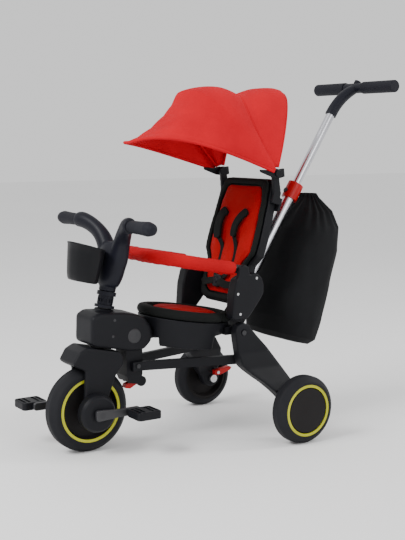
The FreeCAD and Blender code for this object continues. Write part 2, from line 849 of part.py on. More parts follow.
leg_side = slab("leg_side", 0, [
    (326.0, 246.0), (325.0, 262.0), (333.0, 277.0), (347.0, 282.0), (361.0, 277.0), (386.0, 247.0),
    (418.0, 214.0), (446.0, 172.0), (464.0, 130.0), (478.0, 92.0), (474.0, 66.0), (454.0, 56.0),
    (434.0, 64.0), (424.0, 88.0), (406.0, 112.0), (384.0, 138.0), (356.0, 162.0), (338.0, 180.0),
], 96.0, 194.0, 6.0)
leg_front = slab("leg_front", 1, [
    (103.5, 290.0), (130.0, 290.0), (133.0, 210.0), (146.0, 172.0), (170.0, 140.0), (187.0, 124.0),
    (191.0, 108.0), (191.0, 50.0), (166.0, 50.0), (165.0, 100.0), (150.0, 122.0), (124.0, 146.0),
    (108.0, 172.0), (103.5, 200.0),
], 300.0, 500.0, 6.0)
leg = cut(
    "leg_cut", common("leg_whole", leg_side, leg_front),
    rod("leg_hinge_hole", rear_bore, 90.0, 140.0, leg_y, leg_z),
    rod("leg_axle_hole", d.hinge_pin_radius, 150.0, 200.0, d.wheel_base, d.rear_wheel_radius),
    rod("leg_link_hole", 5.0, 90.0, 122.0, rear_link_y, rear_link_z),
    rod("leg_brake_hole", brake_pin_radius, 150.0, 178.0, brake_y, brake_z),
)
pair("rear_leg", on_chassis(leg))
axle_bolt = fuse(
    "axle_bolt",
    rod("bolt_shank", d.hinge_pin_radius, 158.0, rear_x + 17.0, d.wheel_base, d.rear_wheel_radius),
    rod("bolt_head", 10.0, 157.0, 165.0, d.wheel_base, d.rear_wheel_radius),
)
link_stub = rod("link_pin_rear", 5.0, 84.0, 122.0, rear_link_y, rear_link_z)
brake_pin = rod("brake_pin", brake_pin_radius, 141.0, 178.0, brake_y, brake_z)
both("rear_leg_pins", on_chassis(gather("leg_pin_set", axle_bolt, link_stub, brake_pin)))

brake_arm = slab("brake", 0, [
    (brake_y - 9.0, brake_z - 7.0), (brake_y + 8.0, brake_z - 7.0), (brake_y + 38.0, brake_z + 2.0),
    (brake_y + 44.0, brake_z + 9.0), (brake_y + 36.0, brake_z + 13.0), (brake_y + 6.0, brake_z + 8.0),
    (brake_y - 9.0, brake_z + 6.0),
], 143.0, 157.0, 2.0, 1.5)
brake = cut("brake_cut", brake_arm, rod("brake_bore", d.running_gap + brake_pin_radius, 140.0, 160.0, brake_y, brake_z))
pair("brake_lever", on_chassis(brake))

# ---------------------------------------------------------------- seat base

tilt = math.radians(float(d.seat_tilt))
seat_turn = ((-1, 0, 0), d.seat_tilt)


def seat_hoop(name, height, width, depth):
    """An oval in the seat's own tilted frame, given in chassis coordinates."""
    y = float(d.seat_middle_y) + height * math.sin(tilt)
    z = float(d.seat_middle_z) + height * math.cos(tilt)
    return hoop(name, width, depth, 0.0, y, z, seat_turn)


seat_half = d.seat_width / 2.0
seat_reach = d.seat_length / 2.0
base_form = loft("base_form", [
    seat_hoop("base_low", -78.0, seat_half - 26.0, seat_reach - 13.0),
    seat_hoop("base_mid", -46.0, seat_half - 18.0, seat_reach - 8.0),
    seat_hoop("base_top", -12.0, seat_half - 8.0, seat_reach - 3.0),
])
base_room = loft("base_room", [
    seat_hoop("room_low", -79.0, seat_half - 30.5, seat_reach - 17.0),
    seat_hoop("room_mid", -46.0, seat_half - 22.0, seat_reach - 12.0),
    seat_hoop("room_top", -17.0, seat_half - 14.0, seat_reach - 9.0),
])
frame_front = 318.0
frame_low = 250.0
frame_high = 269.0
frame_half = 96.0
base_shell = cut(
    "base_shell", base_form, base_room,
    block("base_front_notch", (-44.0, 44.0), (120.0, 200.0), (190.0, 253.0)),
    block("base_latch_notch", (-28.0, 28.0), (120.0, 200.0), (190.0, hinge_z + 8.0)),
    block("base_rear_notch", (-140.0, 140.0), (frame_front, 420.0), (180.0, frame_high)),
    block("base_bar_room", (-140.0, 140.0), (288.0, 420.0), (180.0, 250.0)),
)
tongue = slab("tongue", 0, [
    (hinge_y - 19.0, hinge_z - 12.0), (hinge_y - 10.0, hinge_z - 18.0), (hinge_y + 70.0, hinge_z - 16.0),
    (hinge_y + 96.0, hinge_z - 4.0), (hinge_y + 96.0, hinge_z + 22.0), (hinge_y + 50.0, hinge_z + 16.0),
    (hinge_y - 10.0, hinge_z + 18.0), (hinge_y - 19.0, hinge_z + 12.0),
], -tongue_half + 0.4, tongue_half - 0.4, 4.0)
base = cut(
    "base_cut", fuse("base_fused", base_shell, tongue),
    rod("base_hinge_hole", rear_bore, -30.0, 30.0, hinge_y, hinge_z),
)
keep(on_chassis(base), "seat_base")

cross_frame = cut(
    "cross_cut",
    fuse(
        "cross_whole",
        block("cross_beam", (-frame_half, frame_half), (frame_front, 384.0), (frame_low, frame_high)),
        slab("push_socket", 0, [
            (380.0, 252.0), (424.0, 258.0), (452.0, 300.0), (476.0, 344.0), (448.0, 366.0), (428.0, 346.0),
            (404.0, 300.0), (380.0, frame_high),
        ], -23.0, 23.0, 4.0, 3.0),
    ),
    rod("cross_pin_hole", d.hinge_pin_radius, -140.0, 140.0, leg_y, leg_z),
)
push = math.radians(float(d.push_lean))
push_frame = Placement(
    Vector(0, float(d.collar_y), float(d.collar_z)), Rotation(Vector(-1, 0, 0), float(d.push_lean))
)
tube_hole = post("tube_hole", 15.0, -292.0, -200.0)
tube_hole.Placement = push_frame.multiply(tube_hole.Placement)
keep(on_chassis(cut("cross_bored", cross_frame, tube_hole)), "rear_cross_frame")
keep(on_chassis(rod("leg_rod", d.hinge_pin_radius, -132.0, 132.0, leg_y, leg_z)), "leg_hinge_rod")

rim = cut(
    "rim_cut",
    loft("rim_form", [
        hoop("rim_a", seat_half - 6.0, seat_reach - 4.0, 0, 0, -12.0),
        hoop("rim_b", seat_half, seat_reach, 0, 0, -3.0),
        hoop("rim_c", seat_half - 1.0, seat_reach - 1.0, 0, 0, 5.0),
        hoop("rim_d", seat_half - 11.0, seat_reach - 11.0, 0, 0, 12.0),
    ]),
    loft("rim_room", [
        hoop("rim_room_a", seat_half - 26.0, seat_reach - 28.0, 0, 0, -13.0),
        hoop("rim_room_b", seat_half - 26.0, seat_reach - 28.0, 0, 0, 13.0),
    ]),
    block("rim_flat_left", (95.6, 140.0), (40.0, 120.0), (-30.0, 30.0)),
    block("rim_flat_right", (-140.0, -95.6), (40.0, 120.0), (-30.0, 30.0)),
)
keep(on_seat(rim), "seat_rim")
keep(on_seat(loft("seat_pad_form", [
    hoop("pad_a", seat_half - 26.4, seat_reach - 28.4, 0, 0, -12.0),
    hoop("pad_b", seat_half - 26.4, seat_reach - 28.4, 0, 0, 3.0),
    hoop("pad_c", seat_half - 40.0, seat_reach - 42.0, 0, 0, 7.0),
], True)), "seat_pad")

housing_low = 96.0
housing_high = 128.0
recline_radius = 7.0
housing_blank = slab("housing", 0, [
    (317.0, 294.0), (326.0, 288.0), (347.0, 289.5), (362.0, 290.5), (376.0, 306.0), (393.0, 327.0),
    (406.0, 346.0), (407.0, 366.0), (401.0, 384.0), (387.0, 396.0), (350.0, 393.0), (330.0, 384.0),
    (321.0, 350.0),
], housing_low, housing_high, 5.0, 4.0)
housing_screws = [(339.0, 302.0), (332.0, 350.0), (385.0, 384.0)]
housing = cut(
    "housing_cut",
    fuse("housing_whole", housing_blank, slab("guard_ear", 0, [
        (332.0, 380.0), (368.0, 385.0), (363.0, 412.0), (350.0, 418.0), (338.0, 412.0),
    ], 114.0, 127.0, 5.0, 1.5)),
    rod("housing_pin_hole", recline_radius, 90.0, 124.0, d.recline_y, d.recline_z),
    rod("guard_pin_hole", 5.0, 100.0, 124.0, 349.0, 405.0),
    *[rod("housing_recess_%d" % n, 3.6, 126.0, 130.0, y, z) for n, (y, z) in enumerate(housing_screws)],
)
pair("side_housing", on_chassis(housing))
keep(on_chassis(screw_group("housing_screw", 3.1, housing_screws, 126.0, 127.4)), "housing_screws")
both("housing_pins", on_chassis(gather(
    "housing_pin_set",
    rod("recline_rod", recline_radius, 72.0, 124.0, d.recline_y, d.recline_z),
    rod("guard_rod", 5.0, 93.0, 124.0, 349.0, 405.0),
)))

# ---------------------------------------------------------------- guard bar

guard_path = [(105.0, 349.0, 405.0), (112.0, 146.0, 442.0), (-112.0, 146.0, 442.0), (-105.0, 349.0, 405.0)]
guard_bend = 84.0
guard_core = arc_pipe("guard_core", guard_path, 8.0, guard_bend)


def guard_end(name, side):
    near, far = sorted((side * 96.0, side * 113.0))
    return rod(name, 10.5, near, far, 349.0, 405.0)


guard_tube = cut(
    "guard_cut",
    fuse("guard_whole", guard_core, guard_end("guard_end_near", 1), guard_end("guard_end_far", -1)),
    rod("guard_bore", 5.05, -120.0, 120.0, 349.0, 405.0),
)
keep(on_chassis(guard_tube), "guard_tube")


def shortened(points, margin):
    """The same path with its two free ends drawn in."""
    ends = []
    for tip, after in ((points[0], points[1]), (points[-1], points[-2])):
        step = (Vector(*after) - Vector(*tip)).normalize() * margin
        ends.append(tuple(Vector(*tip) + step))
    return [ends[0]] + list(points[1:-1]) + [ends[1]]


sleeve_path = shortened(guard_path, 16.0)
sleeve_out = arc_pipe("sleeve_out", sleeve_path, 17.0, guard_bend)
sleeve_in = arc_pipe("sleeve_in", shortened(guard_path, 12.0), 8.0, guard_bend)
keep(on_chassis(cut("sleeve_cut", sleeve_out, sleeve_in)), "guard_sleeve")

# ---------------------------------------------------------------- backrest

back_outline = [
    (60.0, -50.0), (78.0, -40.0), (86.0, -12.0), (86.0, 50.0), (107.0, 76.0), (109.0, 112.0), (103.0, 200.0),
    (97.0, 240.0), (91.0, 258.0), (80.0, 263.0),
]


def shield(inset):
    """The backrest's outline, drawn in by a margin, both sides."""
    right = [(x - inset, z + inset if z < 0 else z - inset if z > 220 else z) for x, z in back_outline]
    return right + [(-x, z) for x, z in reversed(right)]


board = cut(
    "board_cut",
    fuse(
        "board_whole", slab("board", 1, shield(0.0), -14.0, 8.0, 9.0, 3.0),
        rod("ear_near", 14.0, 70.0, 90.0), rod("ear_far", 14.0, -90.0, -70.0),
    ),
    rod("board_bore", recline_radius + d.running_gap, 60.0, 100.0),
    rod("board_bore_far", recline_radius + d.running_gap, -100.0, -60.0),
)
keep(on_backrest(board), "backrest_shell")
border = slab("border", 1, shield(2.0), -27.0, -14.2, 9.0, 4.0)
border_room = slab("border_room", 1, shield(20.0), -30.0, -10.0, 7.0)
keep(on_backrest(cut("border_cut", border, border_room)), "backrest_rim")
keep(on_backrest(slab("cushion", 1, shield(20.5), -24.0, -14.2, 7.0, 2.0)), "backrest_pad")


def strap(name, x, y, z):
    """A webbing or pad drawn as a softened plate on the backrest's face."""
    body = slab(name, 1, [(x[0], z[0]), (x[1], z[0]), (x[1], z[1]), (x[0], z[1])], y[0], y[1], 3.0)
    return on_backrest(body)


harness = gather(
    "harness_half",
    strap("shoulder", (17.0, 47.0), (-38.0, -30.0), (140.0, 205.0)),
    strap("webbing", (22.0, 42.0), (-29.6, -27.4), (16.0, 196.0)),
    strap("hip", (18.0, 72.0), (-32.0, -29.0), (-14.0, 10.0)),
)
both("harness", harness)
keep(strap("buckle", (-17.0, 17.0), (-40.0, -28.0), (-18.0, 14.0)), "harness_buckle")

# The canopy's pivot, seen from the backrest's own frame.
pivot_place = Rotation(Vector(1, 0, 0), float(d.back_lean)).multVec(Vector(
    0, float(d.canopy_pivot_y - d.recline_y), float(d.canopy_pivot_z - d.recline_z)))
pivot_y = pivot_place.y
pivot_z = pivot_place.z
canopy_post = slab("canopy_post", 0, [
    (-14.0, 205.0), (6.0, 205.0), (6.0, 232.0), (pivot_y + 9.0, pivot_z), (pivot_y - 9.0, pivot_z),
    (-14.0, 228.0),
], 104.0, 114.0, 3.0)
post_arm = slab("canopy_arm", 1, [(84.0, 190.0), (114.0, 190.0), (114.0, 222.0), (84.0, 222.0)], 8.2, 14.0, 2.0)
post_boss = rod("post_boss", 12.0, 104.0, 114.0, pivot_y, pivot_z)
post_corner = block("post_corner", (104.0, 114.0), (5.0, 14.0), (206.0, 222.0))
pivot_pin = rod("pivot_pin", 9.0, 113.0, 126.0, pivot_y, pivot_z)
both("canopy_posts", on_backrest(fuse(
    "canopy_post_whole", canopy_post, post_arm, post_boss, post_corner, pivot_pin)))

# ---------------------------------------------------------------- canopy

cloth = d.canopy_cloth
root_radius = 16.0


def arch(reach, half_width, power, degrees, inset):
    """A superelliptic hoop from pivot to pivot, its angle measured up from the rear."""
    angle = math.radians(degrees)
    steps = 12
    line = []
    for step in range(steps + 1):
        turn = math.pi * step / steps
        across = math.copysign(abs(math.cos(turn)) ** (2.0 / power), math.cos(turn))
        rise = root_radius + (reach - inset - root_radius) * abs(math.sin(turn)) ** (2.0 / power)
        x = (half_width - inset) * across
        line.append(Vector(x, rise * math.cos(angle), rise * math.sin(angle)))
    return line


def canopy_section(*form):
    """A closed strip of cloth that follows one hoop."""
    outer = arch(*form, 0.0)
    inner = arch(*form, float(cloth))
    outside = Part.BSplineCurve()
    outside.interpolate(outer)
    inside = Part.BSplineCurve()
    inside.interpolate(inner[::-1])
    return Part.Wire([
        outside.toShape(), Part.LineSegment(outer[-1], inner[-1]).toShape(),
        inside.toShape(), Part.LineSegment(inner[0], outer[0]).toShape(),
    ])


def canopy_panel(name, hoops):
    """A stretch of canopy through its hoops."""
    panel = doc.addObject("Part::Feature", name)
    sections = [canopy_section(*one) for one in hoops]
    panel.Shape = Part.makeLoft(sections, True, True)
    return on_canopy(panel)


# Each hoop is (reach, half width, power, degrees), from the brim to the seam
# and from the seam to the rear bow.
front_hoops = [
    (342.0, 126.0, 2.5, 167.5), (294.0, 128.0, 2.6, 162.0), (272.0, 129.0, 2.7, 155.5),
    (258.0, 129.0, 2.7, 146.5), (257.0, 129.0, 2.7, 138.5), (268.0, 128.0, 2.6, 132.5),
    (247.0, 126.0, 2.5, 124.5), (226.0, 123.0, 2.4, 114.5), (195.0, 119.0, 2.4, 103.5),
]
rear_hoops = [
    (193.0, 118.5, 2.4, 101.5), (191.0, 118.0, 2.4, 93.0), (204.0, 118.0, 2.4, 80.0),
    (216.0, 118.0, 2.4, 69.0),
]
keep(canopy_panel("canopy_front", front_hoops), "canopy_front")
keep(canopy_panel("canopy_rear", rear_hoops), "canopy_rear")

# ---------------------------------------------------------------- push bar

tube_radius = d.push_tube_radius
outer_radius = 15.0
lower_tube = cut(
    "lower_cut", post("lower_out", outer_radius, -290.0, 0.0),
    post("lower_in", tube_radius + d.running_gap, -285.0, 1.0),
)
keep(on_push_bar(lower_tube), "push_tube_lower")
collar_body = cut(
    "collar_cut", post("collar_out", 20.0, -22.0, 20.0),
    post("collar_seat", outer_radius, -23.0, 0.0),
    post("collar_bore", tube_radius + d.running_gap, -1.0, 21.0),
)
button_hole = post("button_hole", 6.05, -24.0, -16.2)
button_hole.Placement = Placement(Vector(0, -24, -8), Rotation(Vector(1, 0, 0), -90))
keep(on_push_bar(cut("collar_bored", collar_body, button_hole)), "push_collar")
button = doc.addObject("Part::Cylinder", "collar_button")
button.Radius = 6.0
button.Height = 4.5
lean_push = float(d.push_lean)
button_y = -22.6
keep(put(
    button, 0.0,
    d.front_axle_y + d.collar_y + button_y * math.cos(push) - 8.0 * math.sin(push),
    d.collar_z - button_y * math.sin(push) - 8.0 * math.cos(push),
    ((1, 0, 0), -90.0 - lean_push),
), "collar_button")
keep(on_push_bar(post("upper_tube", tube_radius, -40.0, 240.0)), "push_tube_upper")

bar_y = 31.0
bar_z = 328.0
handle_half = d.handle_width / 2.0
stem = loft("stem", [
    hoop("stem_a", 14.5, 14.5, 0, 0, 226.0),
    hoop("stem_b", 14.0, 14.5, 0, 2.0, 256.0, ((-1, 0, 0), 6.0)),
    hoop("stem_c", 14.5, 14.0, 0, 12.0, 292.0, ((-1, 0, 0), 24.0)),
    hoop("stem_d", 18.0, 12.0, 0, 28.0, 322.0, ((-1, 0, 0), 34.0)),
])
handle = cut(
    "handle_cut",
    fuse("handle_whole", stem, rod("handle_core", 13.0, -handle_half + 4.0, handle_half - 4.0, bar_y, bar_z)),
    post("handle_socket", tube_radius, 225.0, 240.0),
    post("button_well", 9.05, bar_z + 8.0, bar_z + 30.0, 0.0, bar_y),
)
keep(on_push_bar(handle), "push_handle")
keep(on_push_bar(post("top_button", 9.0, bar_z + 11.2, bar_z + 20.0, 0.0, bar_y)), "handle_button")
handle_grip = cut(
    "handle_grip_cut",
    rod("handle_grip_out", 15.5, 34.0, handle_half, bar_y, bar_z),
    rod("handle_grip_in", 13.0, 30.0, handle_half - 4.0, bar_y, bar_z),
)
both("handle_grips", on_push_bar(handle_grip))

# ---------------------------------------------------------------- storage bag

bag_rings = [
    (192.0, 548.0, 74.0, 48.0), (206.0, 548.0, 102.0, 70.0), (280.0, 562.0, 117.0, 83.0),
    (360.0, 584.0, 120.0, 85.0), (450.0, 614.0, 114.0, 81.0), (500.0, 630.0, 98.0, 68.0),
    (540.0, 642.0, 62.0, 42.0), (562.0, 640.0, 34.0, 20.0), (574.0, 636.0, 24.0, 14.0),
]
bag_wall = 4.0


def bag_form(name, inset, rings):
    """A hanging sack through its ovals: (height, y, half width, half depth)."""
    return loft(name, [
        hoop("%s_%d" % (name, number), width - inset, depth - inset, 0.0, y, z)
        for number, (z, y, width, depth) in enumerate(rings)
    ])


bag_inside = [(196.0, 548.0, 74.0, 48.0)] + bag_rings[1:-1]
bag = cut("bag_cut", bag_form("bag_out", 0.0, bag_rings), bag_form("bag_in", bag_wall, bag_inside))
keep(on_chassis(bag), "storage_bag")

# ---------------------------------------------------------------- check and write

doc.recompute()
faults = [one.Name for one in doc.Objects if "Invalid" in one.State or "Error" in one.State]
if faults:
    raise RuntimeError("failed objects: %s" % ", ".join(faults))
os.makedirs("parts", exist_ok=True)
whole = FreeCAD.BoundBox()
for node in nodes:
    shape = node.Shape
    if shape.isNull() or not shape.isValid():
        raise RuntimeError("%s has no valid shape" % node.Label)
    shape.exportStep("parts/%s.step" % node.Label)
    box = shape.optimalBoundingBox(True, False)
    whole.add(box)
    print("%-20s %2d solids %9.0f mm3" % (node.Label, len(shape.Solids), shape.Volume), end="  ")
    print("x %.1f %.1f y %.1f %.1f z %.1f %.1f" % (box.XMin, box.XMax, box.YMin, box.YMax, box.ZMin, box.ZMax))
print("%d nodes, box %s" % (len(nodes), whole))
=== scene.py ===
# %% [markdown]
# # A folding tricycle, cell by cell
# The hard parts of this tricycle, such as its tubes, wheels, pins and levers, come
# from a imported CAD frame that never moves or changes. This lesson adds what a CAD
# model lacks: fabric that is padded or stretched on hoops, moulded plastic with soft
# edges, webbing, a drawstring bag, and a finish for every surface. Everything is in
# metres, in the frame's own axes: -Y is forward, +X is the rider's left, +Z is up.

# %% Load the frame
import json
import math

import bmesh
import bpy
from mathutils import Matrix, Vector, noise


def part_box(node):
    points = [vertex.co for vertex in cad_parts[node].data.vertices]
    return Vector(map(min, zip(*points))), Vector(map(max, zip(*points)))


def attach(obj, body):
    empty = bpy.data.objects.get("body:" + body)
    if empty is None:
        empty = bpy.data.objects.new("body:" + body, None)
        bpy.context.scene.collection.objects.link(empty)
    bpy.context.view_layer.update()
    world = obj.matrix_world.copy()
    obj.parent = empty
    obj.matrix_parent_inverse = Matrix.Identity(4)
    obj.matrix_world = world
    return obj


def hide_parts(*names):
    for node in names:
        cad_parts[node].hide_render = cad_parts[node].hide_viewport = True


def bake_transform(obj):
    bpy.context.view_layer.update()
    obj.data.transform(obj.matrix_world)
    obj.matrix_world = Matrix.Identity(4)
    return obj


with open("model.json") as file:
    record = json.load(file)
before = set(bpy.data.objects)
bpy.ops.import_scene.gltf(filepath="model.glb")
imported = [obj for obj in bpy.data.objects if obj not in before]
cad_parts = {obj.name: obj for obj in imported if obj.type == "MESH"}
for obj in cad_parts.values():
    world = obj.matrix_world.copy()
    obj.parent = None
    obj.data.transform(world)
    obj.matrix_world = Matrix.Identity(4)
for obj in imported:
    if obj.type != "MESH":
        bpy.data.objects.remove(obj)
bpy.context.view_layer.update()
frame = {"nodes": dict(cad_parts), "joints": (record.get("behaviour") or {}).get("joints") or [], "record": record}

MM = 0.001
nodes = frame["nodes"]
joints = {joint["name"]: joint for joint in frame["joints"]}

# %% [markdown]
# ## Places
# A person measures a tricycle from its front axle, its seat and its hinges, so the
# lesson does too. Each small frame below is a matrix that turns millimetres in that
# frame into metres in the model. Most of their origins are the frame's own joints.

# %% The frames that pieces are measured in
low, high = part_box("front_axle")
AXLE = (low + high) / 2


def frame_at(origin, lean):
    """A frame in millimetres whose z leans back by an angle in radians."""
    return Matrix.Translation(origin) @ Matrix.Rotation(-lean, 4, "X") @ Matrix.Scale(MM, 4)


def lean_of(joint):
    axis = joints[joint]["axis"]
    return math.atan2(axis[1], axis[2])


CHASSIS = frame_at(Vector((0, AXLE.y, 0)), 0.0)
STEERING = frame_at(AXLE, lean_of("steering_turn"))
BACK = frame_at(Vector(joints["backrest_recline"]["pos_m"]), math.radians(16.8))
SEAT = frame_at(CHASSIS @ Vector((0, 262, 298)), math.radians(7.5))
CANOPY = frame_at(Vector(joints["canopy_fold"]["pos_m"]), 0.0)
print("front axle at", [round(c, 4) for c in AXLE])

# %% [markdown]
# ## Camera
# The tricycle is seen from its front left, a little above the seat, with a long lens
# that keeps the wheels nearly round. A camera looks down its own -Z, so its turn
# about X is the tilt up from straight down, and its turn about Z is the side it
# stands on.

# %% Camera
camera = bpy.data.objects.new("camera", bpy.data.cameras.new("camera"))
bpy.context.scene.collection.objects.link(camera)
camera.location = CHASSIS @ Vector((2120.9, -1064.1, 709.3))
camera.rotation_euler = (math.radians(82.91), 0.0, math.radians(56.95))
camera.data.lens = 70.58
camera.data.sensor_width = 36.0
bpy.context.scene.camera = camera

# %% [markdown]
# ## Finishes
# Every finish is a small node tree on Object coordinates, so it does not slide when
# a piece is unwrapped or exported. A colour that varies comes from noise through a
# colour ramp, and the fine surface comes from a bump. What is the same all over the
# surface, such as sheen, is set on the shader itself.


# %% Helpers for node trees
class Finish:
    """A material under construction, with short names for what it needs."""

    def __init__(self, name, roughness, metallic=0.0, sheen=0.0, coat=0.0, mirror=0.5):
        self.material = bpy.data.materials.new(name)
        self.material.use_nodes = True
        self.tree = self.material.node_tree
        self.shader = self.tree.nodes["Principled BSDF"]
        self.shader.inputs["Roughness"].default_value = roughness
        self.shader.inputs["Metallic"].default_value = metallic
        self.shader.inputs["Sheen Weight"].default_value = sheen
        self.shader.inputs["Sheen Roughness"].default_value = 0.45
        self.shader.inputs["Coat Weight"].default_value = coat
        self.shader.inputs["Specular IOR Level"].default_value = mirror
        self.coords = self.add("ShaderNodeTexCoord").outputs["Object"]
        self.height = None

    def add(self, kind, **settings):
        node = self.tree.nodes.new(kind)
        for name, value in settings.items():
            setattr(node, name, value)
        return node

    def join(self, source, target):
        self.tree.links.new(source, target)

    def noise(self, scale, detail=3.0, stretch=(1.0, 1.0, 1.0)):
        """Soft random values; stretch squeezes the pattern along an axis."""
        place = self.add("ShaderNodeMapping")
        place.inputs["Scale"].default_value = stretch
        self.join(self.coords, place.inputs["Vector"])
        texture = self.add("ShaderNodeTexNoise")
        texture.inputs["Scale"].default_value = scale
        texture.inputs["Detail"].default_value = detail
        self.join(place.outputs["Vector"], texture.inputs["Vector"])
        return texture.outputs["Fac"]

    def threads(self, pitch, direction):
        """Parallel threads, one every pitch, across one axis."""
        texture = self.add("ShaderNodeTexWave", bands_direction=direction)
        texture.inputs["Scale"].default_value = math.pi / 10.0 / pitch
        texture.inputs["Distortion"].default_value = 0.6
        texture.inputs["Detail Scale"].default_value = 2.0
        self.join(self.coords, texture.inputs["Vector"])
        return texture.outputs["Fac"]

    def tint(self, factor, dark, light, near=0.3, far=0.7):
        """Colour the surface between two tones."""
        ramp = self.add("ShaderNodeValToRGB")
        ramp.color_ramp.elements[0].position = near
        ramp.color_ramp.elements[0].color = (*dark, 1.0)
        ramp.color_ramp.elements[1].position = far
        ramp.color_ramp.elements[1].color = (*light, 1.0)
        self.join(factor, ramp.inputs["Fac"])
        self.join(ramp.outputs["Color"], self.shader.inputs["Base Color"])
        return ramp

    def gloss(self, factor, low, high):
        """Let the roughness wander between two values."""
        spread = self.add("ShaderNodeMapRange")
        spread.inputs["To Min"].default_value = low
        spread.inputs["To Max"].default_value = high
        self.join(factor, spread.inputs["Value"])
        self.join(spread.outputs["Result"], self.shader.inputs["Roughness"])

    def bump(self, factor, depth, strength=1.0):
        """Raise the surface by a pattern; several bumps stack."""
        relief = self.add("ShaderNodeBump")
        relief.inputs["Distance"].default_value = depth
        relief.inputs["Strength"].default_value = strength
        self.join(factor, relief.inputs["Height"])
        if self.height:
            self.join(self.height, relief.inputs["Normal"])
        self.height = relief.outputs["Normal"]
        self.join(self.height, self.shader.inputs["Normal"])


def shade(colour, factor):
    return tuple(min(1.0, channel * factor) for channel in colour)


# %% [markdown]
# Moulded plastic has a fine sand grain from its mould, and its gloss wanders a
# little where hands have polished it. One function makes every plastic.


# %% Moulded plastic
def plastic(name, colour, roughness, grain=0.00012, coat=0.0):
    finish = Finish(name, roughness, coat=coat, mirror=0.16)
    finish.tint(finish.noise(9.0, 4.0), shade(colour, 0.86), shade(colour, 1.16))
    finish.gloss(finish.noise(26.0, 5.0), roughness - 0.06, roughness + 0.08)
    finish.bump(finish.noise(1500.0, 2.0), grain, 0.55)
    finish.bump(finish.noise(70.0, 2.0), grain * 1.6, 0.3)
    return finish.material


black_plastic = plastic("black_plastic", (0.0058, 0.0060, 0.0080), 0.47)
navy_plastic = plastic("navy_plastic", (0.0080, 0.0084, 0.0135), 0.42)
cup_plastic = plastic("cup_plastic", (0.0050, 0.0052, 0.0066), 0.40)
cap_plastic = plastic("cap_plastic", (0.0085, 0.0072, 0.0074), 0.55)
red_plastic = plastic("red_plastic", (0.42, 0.004, 0.005), 0.36, coat=0.15)
ring_plastic = plastic("ring_plastic", (0.42, 0.42, 0.022), 0.42, coat=0.1)
grip_rubber = plastic("grip_rubber", (0.0088, 0.0092, 0.0140), 0.6, grain=0.0003)

# %% [markdown]
# Foam tyres are matt, with tiny closed pores, and a dusting of grey from use.

# %% Tyre foam
tyre = Finish("tyre_foam", 0.66, mirror=0.18)
tyre.tint(tyre.noise(14.0, 5.0), (0.0062, 0.0064, 0.0084), (0.0115, 0.0118, 0.0145))
tyre.gloss(tyre.noise(40.0), 0.56, 0.72)
tyre.bump(tyre.noise(900.0, 2.0), 0.0002, 0.5)
tyre_foam = tyre.material

# %% [markdown]
# Metals differ in how they were finished. The push bar is drawn and polished, with
# faint lines along its length. The pins of the rear legs and the screws and pins of
# the side housings are zinc plated; those of the head, the hinge rod and the front
# axle are blackened. The guard's tube, the steering column and the cranks are powder
# coated, which leaves a fine orange peel.


# %% Metals
def metal(name, colour, roughness, metallic, stretch, scale, depth):
    finish = Finish(name, roughness, metallic=metallic)
    streaks = finish.noise(scale, 3.0, stretch)
    finish.tint(streaks, shade(colour, 0.9), shade(colour, 1.06))
    finish.gloss(streaks, roughness - 0.05, roughness + 0.07)
    finish.bump(streaks, depth, 0.4)
    return finish.material


polished_tube = metal("polished_tube", (0.62, 0.62, 0.66), 0.24, 1.0, (1.0, 0.04, 0.04), 900.0, 0.00003)
zinc = metal("zinc_plate", (0.60, 0.60, 0.61), 0.34, 1.0, (1.0, 1.0, 1.0), 500.0, 0.00004)
blackened = metal("blackened_steel", (0.012, 0.012, 0.015), 0.45, 0.0, (1.0, 1.0, 1.0), 500.0, 0.00004)
powder_coat = metal("powder_coat", (0.018, 0.018, 0.021), 0.42, 0.0, (1.0, 1.0, 1.0), 420.0, 0.0001)

# %% [markdown]
# Cloth is two sets of threads that cross. Threads across all three axes give a weave
# on any face, whichever way it points, and a slow noise gives the slight unevenness
# of dyed cloth. Sheen is the soft glow of loose fibres at a grazing angle.


# %% Cloth
def cloth(name, colour, pitch, depth, roughness=0.82, sheen=0.25, vary=0.12):
    finish = Finish(name, roughness, sheen=sheen, mirror=0.15)
    finish.shader.inputs["Sheen Tint"].default_value = (*shade(colour, 1.6), 1.0)
    finish.tint(finish.noise(11.0, 5.0), shade(colour, 1.0 - vary), shade(colour, 1.0 + vary))
    for direction in "XYZ":
        finish.bump(finish.threads(pitch, direction), depth, 0.35)
    finish.bump(finish.noise(55.0, 3.0), depth * 2.0, 0.35)
    return finish.material


canopy_cloth = cloth("canopy_cloth", (0.50, 0.0010, 0.0100), 0.0009, 0.00012, sheen=0.04)
pad_cloth = cloth("pad_cloth", (0.32, 0.0012, 0.0024), 0.0011, 0.00018, sheen=0.05)
guard_cloth = cloth("guard_cloth", (0.42, 0.0010, 0.0060), 0.0010, 0.00015, sheen=0.05)
border_cloth = cloth("border_cloth", (0.0056, 0.0066, 0.0062), 0.0011, 0.00016, sheen=0.05)
bag_cloth = cloth("bag_cloth", (0.0075, 0.0078, 0.0088), 0.0008, 0.00012, sheen=0.04)
webbing = cloth("webbing", (0.0050, 0.0056, 0.0052), 0.0016, 0.00025, sheen=0.04)
print("finishes:", len(bpy.data.materials))

# %% [markdown]
# ## Finishes on the CAD nodes
# Each CAD node already carries the record's plain material. Swapping what its slot
# holds gives it a real finish without touching the mesh.

